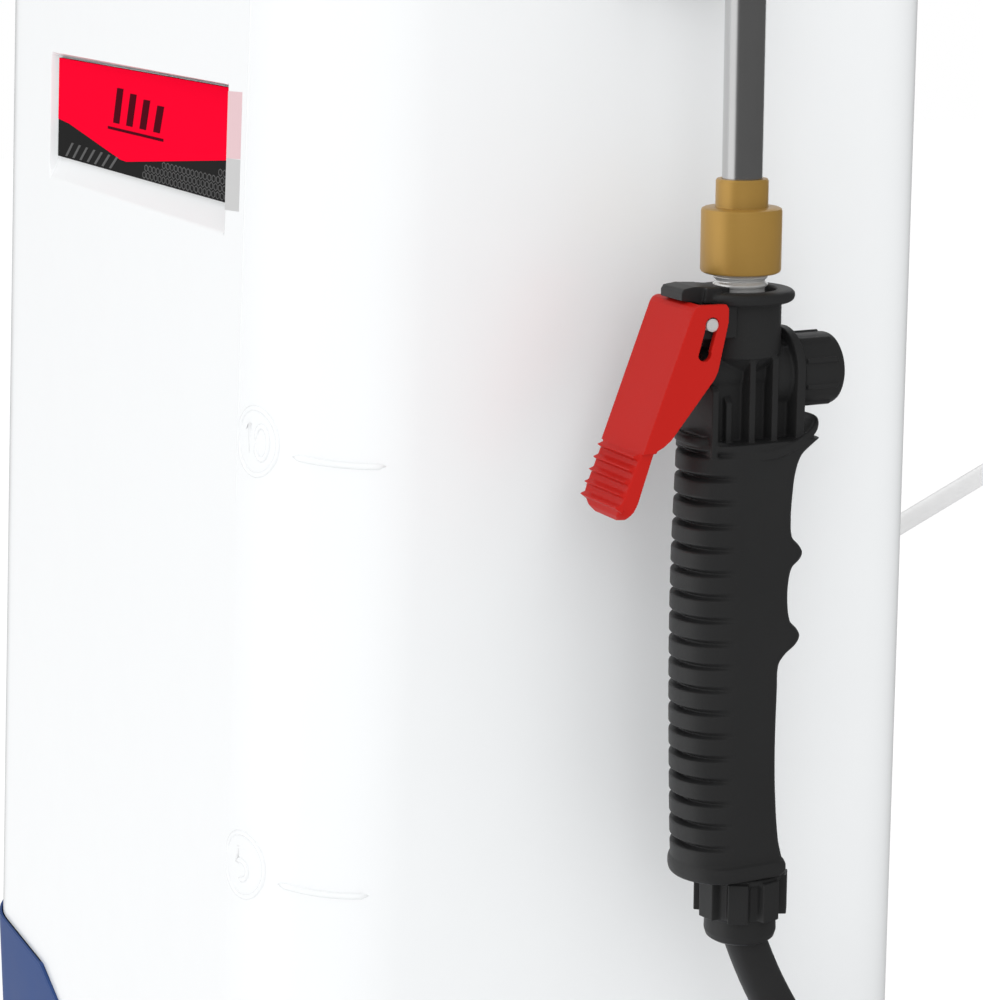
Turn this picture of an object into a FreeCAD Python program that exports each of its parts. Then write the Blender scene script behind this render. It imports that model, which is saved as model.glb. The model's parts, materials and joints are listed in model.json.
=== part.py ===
import FreeCAD, Part
import os
from math import cos, hypot, pi, radians, sin, sqrt, tan

# Backpack sprayer: a white tank on a blue base, with a lever pump inside, a shoulder harness, and a
# spray wand (trigger handle and lance) parked upright in a clip on the wearer's right.
# Millimetres. The origin is on the floor under the middle of the base. +X is the wearer's right,
# +Y points at the wearer's back, +Z is up.

# ---------------------------------------------------------------- driving dimensions
HALF_WIDTH = 143.5
BACK_Y = 95.0
FRONT_Y = -108.0            # at the foot of the tank, where the leaning front starts
FRONT_LEAN = radians(3.0)
FRONT_CORNER = 37.0
BACK_CORNER = 25.0
SHOULDER = 24.0
BASE_TOP = 100.0
TANK_TOP = 485.0
WALL = 3.5
RUNNING = 0.05              # radial clearance of a part that turns or slides

NECK_Y = -6.0
NECK_RADIUS = 54.0
NECK_TOP = 512.0

LABEL_X = (-67.0, 90.0)
LABEL_Z = (382.0, 412.0)
LABEL_RECESS = 5.5

BELT_TOP = 120.0            # the base wraps up round the tank's foot: high at the corners,
BELT_LOW = 104.0            # low between them, let into the tank's wall
BELT_DEPTH = 1.5
BELT_CLEAR = 0.05
BELT_DIP_X = 62.0           # where the dips start, across and from the front and back walls
BELT_DIP_Y = 26.0

SHAFT_Y = -28.0             # pump shaft, crank and piston
SHAFT_Z = 69.0
SHAFT_RADIUS = 8.0
CRANK = 28.0
LEVER_X = -165.5
LEVER_RISE = radians(23.5)
ROD_RADIUS = 4.0

WAND_X = 179.5              # axis of the lance, and height of the middle of its nut
WAND_Y = 10.0
WAND_Z = 377.0
LANCE_RADIUS = 5.0
LANCE_LENGTH = 560.0

PIN_Y = -14.0               # trigger pivot and valve, measured from the middle of the lance nut
PIN_Z = -17.5
VALVE_Z = -32.3
TRIGGER_LEAN = radians(21.2)
TRIGGER_GAP = 4.35          # from the pin's axis to the inside of the trigger's front wall

HOSE_RADIUS = 5.5
COIL_RADIUS = 56.0
COIL_X = 250.0
COIL_Y = 116.0
OUTLET_Y = 60.0
OUTLET_Z = 26.0

X_AXIS = FreeCAD.Vector(1, 0, 0)
Y_AXIS = FreeCAD.Vector(0, 1, 0)
Z_AXIS = FreeCAD.Vector(0, 0, 1)

parts = {}


# ---------------------------------------------------------------- small shapes
def vec(x, y, z):
    return FreeCAD.Vector(x, y, z)


def box(x0, x1, y0, y1, z0, z1):
    return Part.makeBox(x1 - x0, y1 - y0, z1 - z0, vec(x0, y0, z0))


def rod(start, axis, radius, length):
    return Part.makeCylinder(radius, length, start, axis)


def ring(start, axis, outer, inner, length):
    return rod(start, axis, outer, length).cut(rod(start, axis, inner, length))


def between(start, end, radius):
    """A round bar from one point to another."""
    return rod(start, end - start, radius, (end - start).Length)


def joined(shapes):
    """One solid from shapes that touch or overlap."""
    return shapes[0].multiFuse(shapes[1:]).removeSplitter()


def group(shapes):
    """Separate solids that share one node."""
    return Part.makeCompound([solid for shape in shapes for solid in shape.Solids])


def side_plate(outline, x0, x1):
    """A closed outline of (y, z) points, extruded from x0 to x1."""
    wire = Part.makePolygon([vec(x0, y, z) for y, z in outline + outline[:1]])
    return Part.Face(wire).extrude(vec(x1 - x0, 0, 0))


def revolved(outline, centre=(0.0, 0.0)):
    """A closed outline of (radius, z) points, turned about a vertical axis through centre."""
    cx, cy = centre
    wire = Part.makePolygon([vec(cx + r, cy, z) for r, z in outline + outline[:1]])
    return Part.Face(wire).revolve(vec(cx, cy, 0), Z_AXIS, 360)


def rounded(shape, radius, chosen):
    edges = [edge for edge in shape.Edges if chosen(edge)]
    return shape.makeFillet(radius, edges)


def level_edge(z):
    """Picks the edges that lie at height z."""
    return lambda edge: all(abs(v.Z - z) < 0.01 for v in edge.Vertexes)


def along(axis):
    """Picks the straight edges that run along an axis."""
    def chosen(edge):
        if edge.Curve.TypeId != "Part::GeomLine":
            return False
        return abs(edge.Curve.Direction.dot(axis)) > 0.999
    return chosen


def route_tube(points, radius, name):
    """A round tube along straight runs joined by tangent arcs, each as large as its runs allow."""
    path = [vec(*p) for p in points]
    edges = []
    start = path[0]
    for before, corner, after in zip(path, path[1:], path[2:]):
        into = (corner - before).normalize()
        out = (after - corner).normalize()
        half_turn = into.getAngle(out) / 2
        reach = 0.45 * min((corner - before).Length, (after - corner).Length)
        first = corner - into * reach
        last = corner + out * reach
        towards = (out - into).normalize()
        bend = reach / tan(half_turn)
        middle = corner + towards * (bend / cos(half_turn) - bend)
        edges.append(Part.LineSegment(start, first).toShape())
        edges.append(Part.Arc(first, middle, last).toShape())
        start = last
        print(name, "bend radius", round(bend, 1), "turn", round(2 * half_turn * 180 / pi, 1))
    edges.append(Part.LineSegment(start, path[-1]).toShape())
    wire = Part.Wire(edges)
    circle = Part.Circle(path[0], path[1] - path[0], radius)
    tube = wire.makePipeShell([Part.Wire([circle.toShape()])], True, True)
    share = tube.Volume / (pi * radius**2 * wire.Length)
    print(name, "length", round(wire.Length, 1), "volume share", round(share, 4))
    return tube


def wand(shape):
    """Moves a shape drawn about the lance nut to its place beside the tank."""
    return shape.translated(vec(WAND_X, WAND_Y, WAND_Z))


# ---------------------------------------------------------------- tank
def front_y(z):
    """The tank's front face leans back towards the top."""
    return FRONT_Y + (z - BASE_TOP) * tan(FRONT_LEAN)


def plan(z, inset, front=None):
    """The tank's rounded outline at height z, drawn inset from its outer face."""
    x = HALF_WIDTH - inset
    y0 = (front_y(z) if front is None else front) + inset
    y1 = BACK_Y - inset
    rf = FRONT_CORNER - inset
    rb = BACK_CORNER - inset
    corners = ((x, y0, rf, -45), (x, y1, rb, 45), (-x, y1, rb, 135), (-x, y0, rf, 225))
    ends = []
    for cx, cy, radius, middle in corners:
        centre = vec(cx - radius * (1 if cx > 0 else -1), cy - radius * (1 if cy > 0 else -1), z)
        spots = []
        for angle in (middle - 45, middle, middle + 45):
            spots.append(centre + vec(radius * cos(radians(angle)), radius * sin(radians(angle)), 0))
        ends.append(spots)
    edges = []
    for this, following in zip(ends, ends[1:] + ends[:1]):
        edges.append(Part.Arc(this[0], this[1], this[2]).toShape())
        edges.append(Part.LineSegment(this[2], following[0]).toShape())
    return Part.Wire(edges)


def tank_form(inset, z0, z1, shoulder):
    form = Part.makeLoft([plan(z0, inset), plan(z1, inset)], True, True)
    return rounded(form, shoulder, level_edge(z1))


def label_block(x0, x1, z0, z1, proud, deep):
    """A block that follows the leaning front face, from proud outside it to deep inside it."""
    outline = [(front_y(z0) - proud, z0), (front_y(z1) - proud, z1),
               (front_y(z1) + deep, z1), (front_y(z0) + deep, z0)]
    return side_plate(outline, x0, x1)


def belt(outset, inset, z0, lift):
    """The rim that wraps round the tank's foot; its top edge dips between the corners."""
    top = BELT_TOP + lift
    low = BELT_LOW + lift
    wrap = Part.Face(plan(z0, -outset, FRONT_Y)).extrude(vec(0, 0, top - z0))
    wrap = wrap.cut(Part.Face(plan(z0 - 1, inset, FRONT_Y)).extrude(vec(0, 0, top - z0 + 2)))
    run = 3 * (top - low)
    across = [(-BELT_DIP_X, top), (run - BELT_DIP_X, low), (BELT_DIP_X - run, low), (BELT_DIP_X, top),
              (BELT_DIP_X, top + 5), (-BELT_DIP_X, top + 5)]
    wire = Part.makePolygon([vec(x, -200, z) for x, z in across + across[:1]])
    wrap = wrap.cut(Part.Face(wire).extrude(vec(0, 400, 0)))
    front = FRONT_Y + BELT_DIP_Y
    back = BACK_Y - BELT_DIP_Y
    lengthwise = [(front, top), (front + run, low), (back - run, low), (back, top),
                  (back, top + 5), (front, top + 5)]
    return wrap.cut(side_plate(lengthwise, -200, 200))


def tank():
    x0 = LABEL_X[0] - 2.0
    x1 = LABEL_X[1] + 1.0
    z0 = LABEL_Z[0] - 1.0
    z1 = LABEL_Z[1] + 1.5
    slope = 6.0                     # the recess's lower wall slopes outwards
    handle_pads = [box(x - 12, x + 12, 58, 84, TANK_TOP - 22, TANK_TOP + 5) for x in (-62, 62)]
    outer = tank_form(0, BASE_TOP, TANK_TOP, SHOULDER)
    neck = rod(vec(0, NECK_Y, TANK_TOP - 10), Z_AXIS, NECK_RADIUS, NECK_TOP - TANK_TOP + 10)
    bead = rod(vec(0, NECK_Y, TANK_TOP), Z_AXIS, NECK_RADIUS + 4, 4)
    inner = tank_form(WALL, BASE_TOP + WALL, TANK_TOP - WALL, SHOULDER - WALL)
    inner = inner.cut(label_block(x0 - WALL, x1 + WALL, z0 - slope, z1 + WALL, 5, LABEL_RECESS + WALL))
    shell = joined([outer, neck, bead] + handle_pads).cut(inner)
    shell = shell.cut(rod(vec(0, NECK_Y, TANK_TOP - 20), Z_AXIS, NECK_RADIUS - 4, 60))
    shell = shell.cut(label_block(x0, x1, z0, z1, 5, LABEL_RECESS))
    ramp = [(front_y(z0) - 1, z0 - slope - 1.1), (front_y(z0) - 1, z0), (front_y(z0) + LABEL_RECESS, z0)]
    shell = shell.cut(side_plate(ramp, x0, x1))
    shell = shell.cut(rod(vec(0, 0, BASE_TOP - 1), Z_AXIS, 28.1, 10))
    shell = shell.cut(rod(vec(40, 0, BASE_TOP - 1), Z_AXIS, 6.1, 10))
    for x in (-62, 62):
        shell = shell.cut(rod(vec(x, 71, TANK_TOP - 9), Z_AXIS, 2.6, 20))
    shell = shell.cut(belt(0.5, BELT_DEPTH + BELT_CLEAR, BASE_TOP - 1, BELT_CLEAR))
    parts["tank_shell"] = shell
    plate_top = 1 - LABEL_RECESS
    plate = label_block(LABEL_X[0], LABEL_X[1], LABEL_Z[0], LABEL_Z[1], plate_top, LABEL_RECESS)
    parts["label_plate"] = plate


def filler():
    """Cap, gasket and the strainer basket that lifts out of the neck."""
    centre = (0.0, NECK_Y)
    basket = [(NECK_RADIUS - 1, NECK_TOP), (NECK_RADIUS - 1, NECK_TOP + 2), (46, NECK_TOP + 2),
              (46, 404), (0, 404), (0, 402), (48, 402), (48, NECK_TOP)]
    strainer = revolved(basket, centre)
    for z in (420, 450, 480):
        for turn in range(8):
            slot = box(40, 52, -11, 11, z, z + 20)
            slot.rotate(vec(0, 0, 0), Z_AXIS, turn * 45)
            strainer = strainer.cut(slot.translated(vec(0, NECK_Y, 0)))
    gasket = [(44, NECK_TOP + 2), (NECK_RADIUS - 2, NECK_TOP + 2),
              (NECK_RADIUS - 2, NECK_TOP + 4), (44, NECK_TOP + 4)]
    inside = NECK_RADIUS + RUNNING
    cap_outline = [(0, NECK_TOP + 4), (inside, NECK_TOP + 4), (inside, NECK_TOP - 20), (62, NECK_TOP - 20),
                   (62, NECK_TOP + 10), (58, NECK_TOP + 14), (0, NECK_TOP + 14)]
    cap = revolved(cap_outline, centre)
    for turn in range(24):
        groove = rod(vec(63.2, 0, NECK_TOP - 21), Z_AXIS, 2.4, 30)
        groove.rotate(vec(0, 0, 0), Z_AXIS, turn * 15)
        cap = cap.cut(groove.translated(vec(0, NECK_Y, 0)))
    grip_bar = box(-40, 40, NECK_Y - 6, NECK_Y + 6, NECK_TOP + 13, NECK_TOP + 22)
    grip_bar = rounded(grip_bar, 3, level_edge(NECK_TOP + 22))
    parts["strainer_basket"] = strainer
    parts["cap_gasket"] = revolved(gasket, centre)
    parts["filler_cap"] = joined([cap, grip_bar])


def carry_handle():
    top = TANK_TOP + 5
    feet = [box(x - 11, x + 11, 60, 82, top, top + 8) for x in (-62, 62)]
    posts = [box(x - 7, x + 7, 66, 78, top + 7, 535) for x in (-62, 62)]
    bar = rod(vec(-69, 72, 535), X_AXIS, 9, 138)
    handle = joined(feet + posts + [bar])
    screws = []
    for x in (-62, 62):
        handle = handle.cut(rod(vec(x, 71, top - 1), Z_AXIS, 2.6, 4))
        screws.append(rod(vec(x, 71, TANK_TOP - 8), Z_AXIS, 2.5, 15.9))
    parts["carry_handle"] = handle
    parts["handle_studs"] = group(screws)


# ---------------------------------------------------------------- base
def base():
    deck = 94.0
    skirt = 4.0
    outer = Part.Face(plan(0, 0, FRONT_Y)).extrude(vec(0, 0, BASE_TOP))
    outer = rounded(outer, 3, level_edge(0))
    hollow = Part.Face(plan(-1, skirt, FRONT_Y)).extrude(vec(0, 0, deck + 1))
    shell = outer.cut(hollow)
    bosses = [rod(vec(x, y, 4.2), Z_AXIS, 11, 92) for x in (-112, 112) for y in (-74, 78)]
    rib = joined([box(16, 24, -62, -38, 46, 96), box(16, 24, -46, -10, 50, 81.5)])
    shaft_boss = rod(vec(-142, SHAFT_Y, SHAFT_Z), X_AXIS, 17, 22)
    outlet_boss = rod(vec(128, OUTLET_Y, OUTLET_Z), X_AXIS, 14, 13)
    shell = joined([shell, rib, shaft_boss, outlet_boss] + bosses + [belt(0, BELT_DEPTH, BASE_TOP - 2, 0)])
    shell = shell.cut(rod(vec(-150, SHAFT_Y, SHAFT_Z), X_AXIS, 11, 200))
    shell = shell.cut(rod(vec(120, OUTLET_Y, OUTLET_Z), X_AXIS, 8.05, 40))
    shell = shell.cut(rod(vec(0, 0, 90), Z_AXIS, 28.1, 20))
    shell = shell.cut(rod(vec(40, 0, 90), Z_AXIS, 6.1, 20))
    cover = Part.Face(plan(0, skirt + 0.5, FRONT_Y)).extrude(vec(0, 0, 4))
    screws = []
    for x in (-112, 112):
        for y in (-74, 78):
            shell = shell.cut(rod(vec(x, y, 0), Z_AXIS, 2.05, 20))
            cover = cover.cut(rod(vec(x, y, -1), Z_AXIS, 2.05, 8)).cut(rod(vec(x, y, -1), Z_AXIS, 4.6, 3.6))
            head = rod(vec(x, y, 0.4), Z_AXIS, 4.5, 2.2)
            screws.append(head.fuse(rod(vec(x, y, 2.0), Z_AXIS, 2.0, 14)))
    parts["base_shell"] = shell
    parts["bottom_cover"] = cover
    parts["base_screws"] = group(screws)


# ---------------------------------------------------------------- pump
def pump():
    shaft_start = vec(-176, SHAFT_Y, SHAFT_Z)
    shaft = rod(shaft_start, X_AXIS, SHAFT_RADIUS, 200)
    bush = SHAFT_RADIUS + RUNNING
    bushes = [ring(vec(-145.5, SHAFT_Y, SHAFT_Z), X_AXIS, 11, bush, 25),
              ring(vec(-148, SHAFT_Y, SHAFT_Z), X_AXIS, 15, bush, 2.5),
              ring(vec(16, SHAFT_Y, SHAFT_Z), X_AXIS, 11, bush, 8)]
    bushes = [bushes[0].fuse(bushes[1]).removeSplitter(), bushes[2]]
    parts["lever_bushes"] = group(bushes)

    crank_start = vec(8, SHAFT_Y, SHAFT_Z)
    web = box(8, 14, SHAFT_Y, SHAFT_Y + CRANK, SHAFT_Z - 7, SHAFT_Z + 7)
    crank = joined([rod(crank_start, X_AXIS, 13, 7), web, rod(vec(8, SHAFT_Y + CRANK, SHAFT_Z), X_AXIS, 7, 6),
                    rod(vec(-6, SHAFT_Y + CRANK, SHAFT_Z), X_AXIS, 4, 16)])
    parts["crank_arm"] = crank.cut(rod(vec(0, SHAFT_Y, SHAFT_Z), X_AXIS, SHAFT_RADIUS, 30))
    parts["pump_shaft"] = shaft

    # the lever is a straight rod that rises towards the wearer's front
    reach = vec(0, cos(LEVER_RISE), sin(LEVER_RISE))
    centre = vec(LEVER_X, SHAFT_Y, SHAFT_Z)
    hub = ring(vec(-174, SHAFT_Y, SHAFT_Z), X_AXIS, 14, SHAFT_RADIUS, 25)
    arm = between(centre + reach * 11, centre + reach * 518, ROD_RADIUS)
    parts["lever_arm"] = joined([hub, arm]).cut(rod(shaft_start, X_AXIS, SHAFT_RADIUS, 60))
    grip = between(centre + reach * 404, centre + reach * 524, 13)
    grip = grip.makeFillet(4, [e for e in grip.Edges if e.Curve.TypeId == "Part::GeomCircle"])
    parts["lever_grip"] = grip.cut(arm)
    pin = rod(vec(LEVER_X, SHAFT_Y - 13, SHAFT_Z), Y_AXIS, 2.0, 4.8)
    parts["lever_arm"] = parts["lever_arm"].cut(pin)
    parts["lever_pin"] = pin

    # the crank pin runs in a level slot, so the piston travels straight up and down
    yoke = box(-6, 6, -14, 11, SHAFT_Z - 9, SHAFT_Z + 9)
    slot = box(-7, 7, -7.6, 4.8, SHAFT_Z - 4.5, SHAFT_Z + 4.5)
    stem = rod(vec(0, 0, SHAFT_Z + 8.5), Z_AXIS, 6, 34)
    parts["piston_rod"] = joined([yoke, stem]).cut(slot)
    piston = rod(vec(0, 0, 111.5), Z_AXIS, 23.6, 18).cut(ring(vec(0, 0, 117), Z_AXIS, 24, 20, 6))
    parts["piston"] = piston
    parts["piston_seal"] = ring(vec(0, 0, 117), Z_AXIS, 24 - RUNNING, 20, 6)

    barrel = ring(vec(0, 0, 82), Z_AXIS, 28, 24, 76).fuse(ring(vec(0, 0, 105.5), Z_AXIS, 33, 24, 4.5))
    barrel = barrel.removeSplitter()
    for turn in range(4):
        port = rod(vec(20, 0, 152), X_AXIS, 3, 12)
        port.rotate(vec(0, 0, 0), Z_AXIS, 45 + 90 * turn)
        barrel = barrel.cut(port)
    parts["pump_cylinder"] = barrel
    parts["cylinder_gasket"] = ring(vec(0, 0, 103.5), Z_AXIS, 33, 28.05, 2)
    parts["cylinder_nut"] = ring(vec(0, 0, 84), Z_AXIS, 33.5, 28.05, 10)
    parts["valve_plate"] = ring(vec(0, 0, 158), Z_AXIS, 28, 5, 5)
    ball_radius = 7.0
    ball_z = 163 + sqrt(ball_radius**2 - 25)
    parts["outlet_ball"] = Part.makeSphere(ball_radius, vec(0, 0, ball_z + 0.02))
    dome = rounded(rod(vec(0, 0, 163), Z_AXIS, 48, 137), 30, level_edge(300))
    inside = rounded(rod(vec(0, 0, 167), Z_AXIS, 44, 129), 26, level_edge(296))
    chamber = dome.cut(inside).cut(rod(vec(0, 0, 160), Z_AXIS, 12, 10))
    chamber = chamber.cut(rod(vec(40, 0, 160), Z_AXIS, 3.0, 10))
    parts["pressure_chamber"] = chamber


def outlet():
    """Pipe from the pressure chamber to the threaded outlet on the wearer's right."""
    # straight down through the tank's floor, over to the outlet's line below the deck, then level
    points = [(40, 0, 163), (40, 0, OUTLET_Z + 40), (66, OUTLET_Y - 22, OUTLET_Z + 8),
              (94, OUTLET_Y, OUTLET_Z), (139, OUTLET_Y, OUTLET_Z)]
    pipe = route_tube(points, 6, "outlet_pipe")
    core = route_tube(points, 4, "outlet_pipe bore")
    parts["outlet_pipe"] = pipe.cut(core)
    line = vec(0, OUTLET_Y, OUTLET_Z)
    sleeve = rod(line + vec(129, 0, 0), X_AXIS, 8, 30)
    flange = rod(line + vec(143.7, 0, 0), X_AXIS, 12.5, 3.3)
    barb = rod(line + vec(158, 0, 0), X_AXIS, 4.4, 9)
    fitting = joined([sleeve, flange, barb])
    fitting = fitting.cut(rod(line + vec(128, 0, 0), X_AXIS, 6.02, 11))
    fitting = fitting.cut(rod(line + vec(128, 0, 0), X_AXIS, 3, 50))
    parts["outlet_fitting"] = fitting
    nut = hose_nut(line + vec(147.2, 0, 0), X_AXIS)
    parts["outlet_nut"] = nut


def hose_nut(start, axis):
    """A winged union nut, drawn along +Z with its wide bore at z = 0, then laid along an axis."""
    outline = [(8 + RUNNING, 0), (10.6, 0), (10.6, 11), (9.7, 12), (9.7, 17.5), (8.7, 19), (8.2, 19),
               (6.6, 11.9), (8 + RUNNING, 11.9)]
    body = revolved(outline)
    wings = []
    for turn in range(8):
        wing = box(9.8, 12.2, -2.2, 2.2, 0, 11)
        wing.rotate(vec(0, 0, 0), Z_AXIS, turn * 45)
        wings.append(wing)
    nut = joined([body] + wings)
    nut.Placement = FreeCAD.Placement(start, FreeCAD.Rotation(Z_AXIS, axis))
    return nut


# ---------------------------------------------------------------- spray wand
def handle_body():
    flange = rod(vec(0, 0, -14), Z_AXIS, 13.5, 3.5)
    flange = rounded(flange, 1.2, level_edge(-10.5))
    neck = revolved([(0, -31.5), (5.6, -31.5), (10.3, -26.6), (10.3, -13), (0, -13)])
    lug = joined([rod(vec(-8.6, PIN_Y, PIN_Z), X_AXIS, 4.0, 17.2),
                  box(-8.6, 8.6, PIN_Y, -6, PIN_Z - 4, PIN_Z + 4)])
    hook = [(-9, -12.8), (-9, -9.2), (-13, -8.6), (-19.5, -8.9), (-21, -10), (-21, -12.4), (-17, -12.0)]
    tab = side_plate(hook, -6, 6)

    # valve housing: a level barrel through upright fins, with a screen under the valve's knob
    barrel = rod(vec(0, -12, VALVE_Z + 1.5), Y_AXIS, 6.2, 24)
    chest = rod(vec(0, 0.5, VALVE_Z), Y_AXIS, 8.6, 13.5)
    core = box(-5.4, 5.4, -10.8, 12, -50, -25)
    fins = []
    for y, reach, top in ((-11.6, 8.8, -33), (-6.6, 7.4, -36.5), (-1.3, 9.6, -26), (5.1, 9.6, -26)):
        fins.append(box(-reach, reach, y - 0.85, y + 0.85, -50, top))
    screen = joined([rod(vec(0, 10.9, VALVE_Z + 1), Y_AXIS, 10.4, 2.4),
                     box(-10.2, 10.2, 10.9, 13.3, -50, VALVE_Z + 1)])

    # collar: it dips in the middle and rises behind to rest on the thumb
    flare = [(-16.2, -47.6), (-12, -49), (-2, -51.9), (4, -52.1), (12, -49.7), (21, -45.9),
             (21, -43.4), (12, -47), (4, -49.6), (-2, -49.4), (-12, -46.6), (-16.2, -45.2)]
    around = joined([rod(vec(0, -3.0, -60), Z_AXIS, 12.3, 30), rod(vec(0, 8.6, -60), Z_AXIS, 12.3, 30),
                     box(-12.3, 12.3, -3.0, 8.6, -60, -30)])
    collar = side_plate(flare, -13, 13).common(around)

    # grip: a side view and a plan view, each extruded, and what they share
    back = [(19.5, -46), (15.2, -50), (12.6, -54), (10.8, -64), (14.0, -77), (10.1, -90), (13.9, -98.6),
            (7.8, -106), (7.6, -128), (9.1, -152), (11.2, -157), (10.5, -162)]
    curve = Part.BSplineCurve()
    curve.interpolate([vec(0, y, z) for y, z in back])
    low = Part.makePolygon([vec(0, 10.5, -162), vec(0, -15.8, -162), vec(0, -16.6, -140),
                            vec(0, -16.6, -76), vec(0, -15.2, -48), vec(0, 19.5, -46)])
    face = Part.Face(Part.Wire([curve.toShape()] + low.Edges))
    side_view = face.extrude(vec(30, 0, 0)).translated(vec(-15, 0, 0))
    half = 11.5
    centre_y = -5.0
    nose = vec(0, centre_y - half, -165)
    arc = Part.Arc(vec(half, centre_y, -165), nose, vec(-half, centre_y, -165)).toShape()
    sides = [Part.LineSegment(vec(-half, centre_y, -165), vec(-half, 30, -165)).toShape(),
             Part.LineSegment(vec(-half, 30, -165), vec(half, 30, -165)).toShape(),
             Part.LineSegment(vec(half, 30, -165), vec(half, centre_y, -165)).toShape()]
    plan_view = Part.Face(Part.Wire([arc] + sides)).extrude(vec(0, 0, 125))
    grip = side_view.common(plan_view)
    back_edges = [e for e in grip.Edges if e.BoundBox.YMin > 5 and e.BoundBox.ZLength > 60]
    grip = grip.makeFillet(2.5, back_edges)
    pitch = 6.2
    for step in range(17):
        z = -55.5 - pitch * step
        groove = ring(vec(0, centre_y, z), Z_AXIS, 14, 10.1, 2.0).common(box(-15, 15, -20, -3, z, z + 2))
        grip = grip.cut(groove)

    body = joined([flange, neck, lug, tab, barrel, chest, core, screen, collar, grip] + fins)
    body = body.cut(rod(vec(0, 0, -26), Z_AXIS, 6.85, 20))              # lance adapter
    body = body.cut(rod(vec(0, 0, -10.9), Z_AXIS, 9, 3))
    body = body.cut(rod(vec(0, 0, -40), Z_AXIS, 3, 20))                 # way from the valve up
    body = body.cut(rod(vec(0, 6, -162), Z_AXIS, 4, 132))               # way up the grip to the valve
    body = body.cut(rod(vec(0, 2.0, VALVE_Z), Y_AXIS, 6.5, 20))         # valve chamber
    body = body.cut(rod(vec(0, -20, VALVE_Z), Y_AXIS, 2.0 + RUNNING, 30))
    body = body.cut(rod(vec(0, 3.6, -163), Z_AXIS, 8.02, 13))           # hose end
    body = body.cut(rod(vec(-20, PIN_Y, PIN_Z), X_AXIS, 1.7, 40))
    return body


def trigger():
    """A folded channel that hangs from its pin in front of the handle."""
    outline = [(-11.0, -12.6), (-18.4, -12.2), (-19.4, -13.6), (-33.4, -49.6), (-39.2, -63.0), (-38.6, -66.6),
               (-36.6, -67.6), (-34.6, -64.0), (-29.6, -49.0), (-27.6, -48.2), (-25.6, -46.4), (-13.2, -31.6),
               (-12.4, -29.5), (-9.4, -17.0), (-9.6, -13.6)]
    whole = side_plate(outline, -12.5, 12.5)
    sides = [e for e in whole.Edges if not along(X_AXIS)(e)]
    fold = [e for e in sides if e.BoundBox.ZLength > 30 and e.BoundBox.YMax < -15]
    whole = whole.makeFillet(2.2, fold)
    wall = 1.8
    slope = vec(0, -sin(TRIGGER_LEAN), -cos(TRIGGER_LEAN))
    inward = vec(0, cos(TRIGGER_LEAN), -sin(TRIGGER_LEAN))
    top = vec(0, PIN_Y, PIN_Z) - inward * TRIGGER_GAP - slope * 12
    foot = top + slope * 42.6
    pocket = [(top.y, top.z), (foot.y, foot.z), (foot.y + 18, foot.z + 4), (top.y + 40, top.z + 2)]
    whole = whole.cut(side_plate(pocket, -10.7, 10.7))
    low = box(-20, -11, -50, -20, -80, -49.2)
    for cut_side in (low, low.translated(vec(31, 0, 0))):
        whole = whole.cut(cut_side)
    ridge_count = 5
    for step in range(ridge_count):
        z = -49.0 - 3.0 * step
        y = -33.1 + (z + 49.6) * 0.43
        whole = whole.fuse(between(vec(-9.5, y, z), vec(9.5, y, z), 0.9))
    whole = whole.removeSplitter()
    drop = vec(0, -sin(radians(16)), -cos(radians(16))) * 7.2
    pin = vec(0, PIN_Y, PIN_Z)
    for side in (-13, 10):
        start = pin + vec(side, 0, 0)
        slot = joined([rod(start, X_AXIS, 1.7 + RUNNING, 3), rod(start + drop, X_AXIS, 1.7 + RUNNING, 3),
                       side_plate(slot_sides(drop, 1.7 + RUNNING), side, side + 3)])
        whole = whole.cut(slot)
    return whole


def slot_sides(drop, half):
    """The straight-sided middle of the trigger's slot, as a side outline."""
    across = vec(0, drop.z, -drop.y).normalize() * half
    pin = vec(0, PIN_Y, PIN_Z)
    corners = (pin + across, pin - across, pin + drop - across, pin + drop + across)
    return [(c.y, c.z) for c in corners]


def spring(start_y, end_y, radius, wire, turns):
    """A coil spring along +Y, drawn as a helix about the valve's axis."""
    helix = Part.makeHelix((end_y - start_y) / turns, end_y - start_y, radius)
    circle = Part.Wire([Part.Circle(vec(radius, 0, 0), Y_AXIS, wire).toShape()])
    coil = Part.Wire(helix.Edges).makePipeShell([circle], True, True)
    coil.rotate(vec(0, 0, 0), X_AXIS, -90)
    return coil.translated(vec(0, start_y, VALVE_Z))


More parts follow.
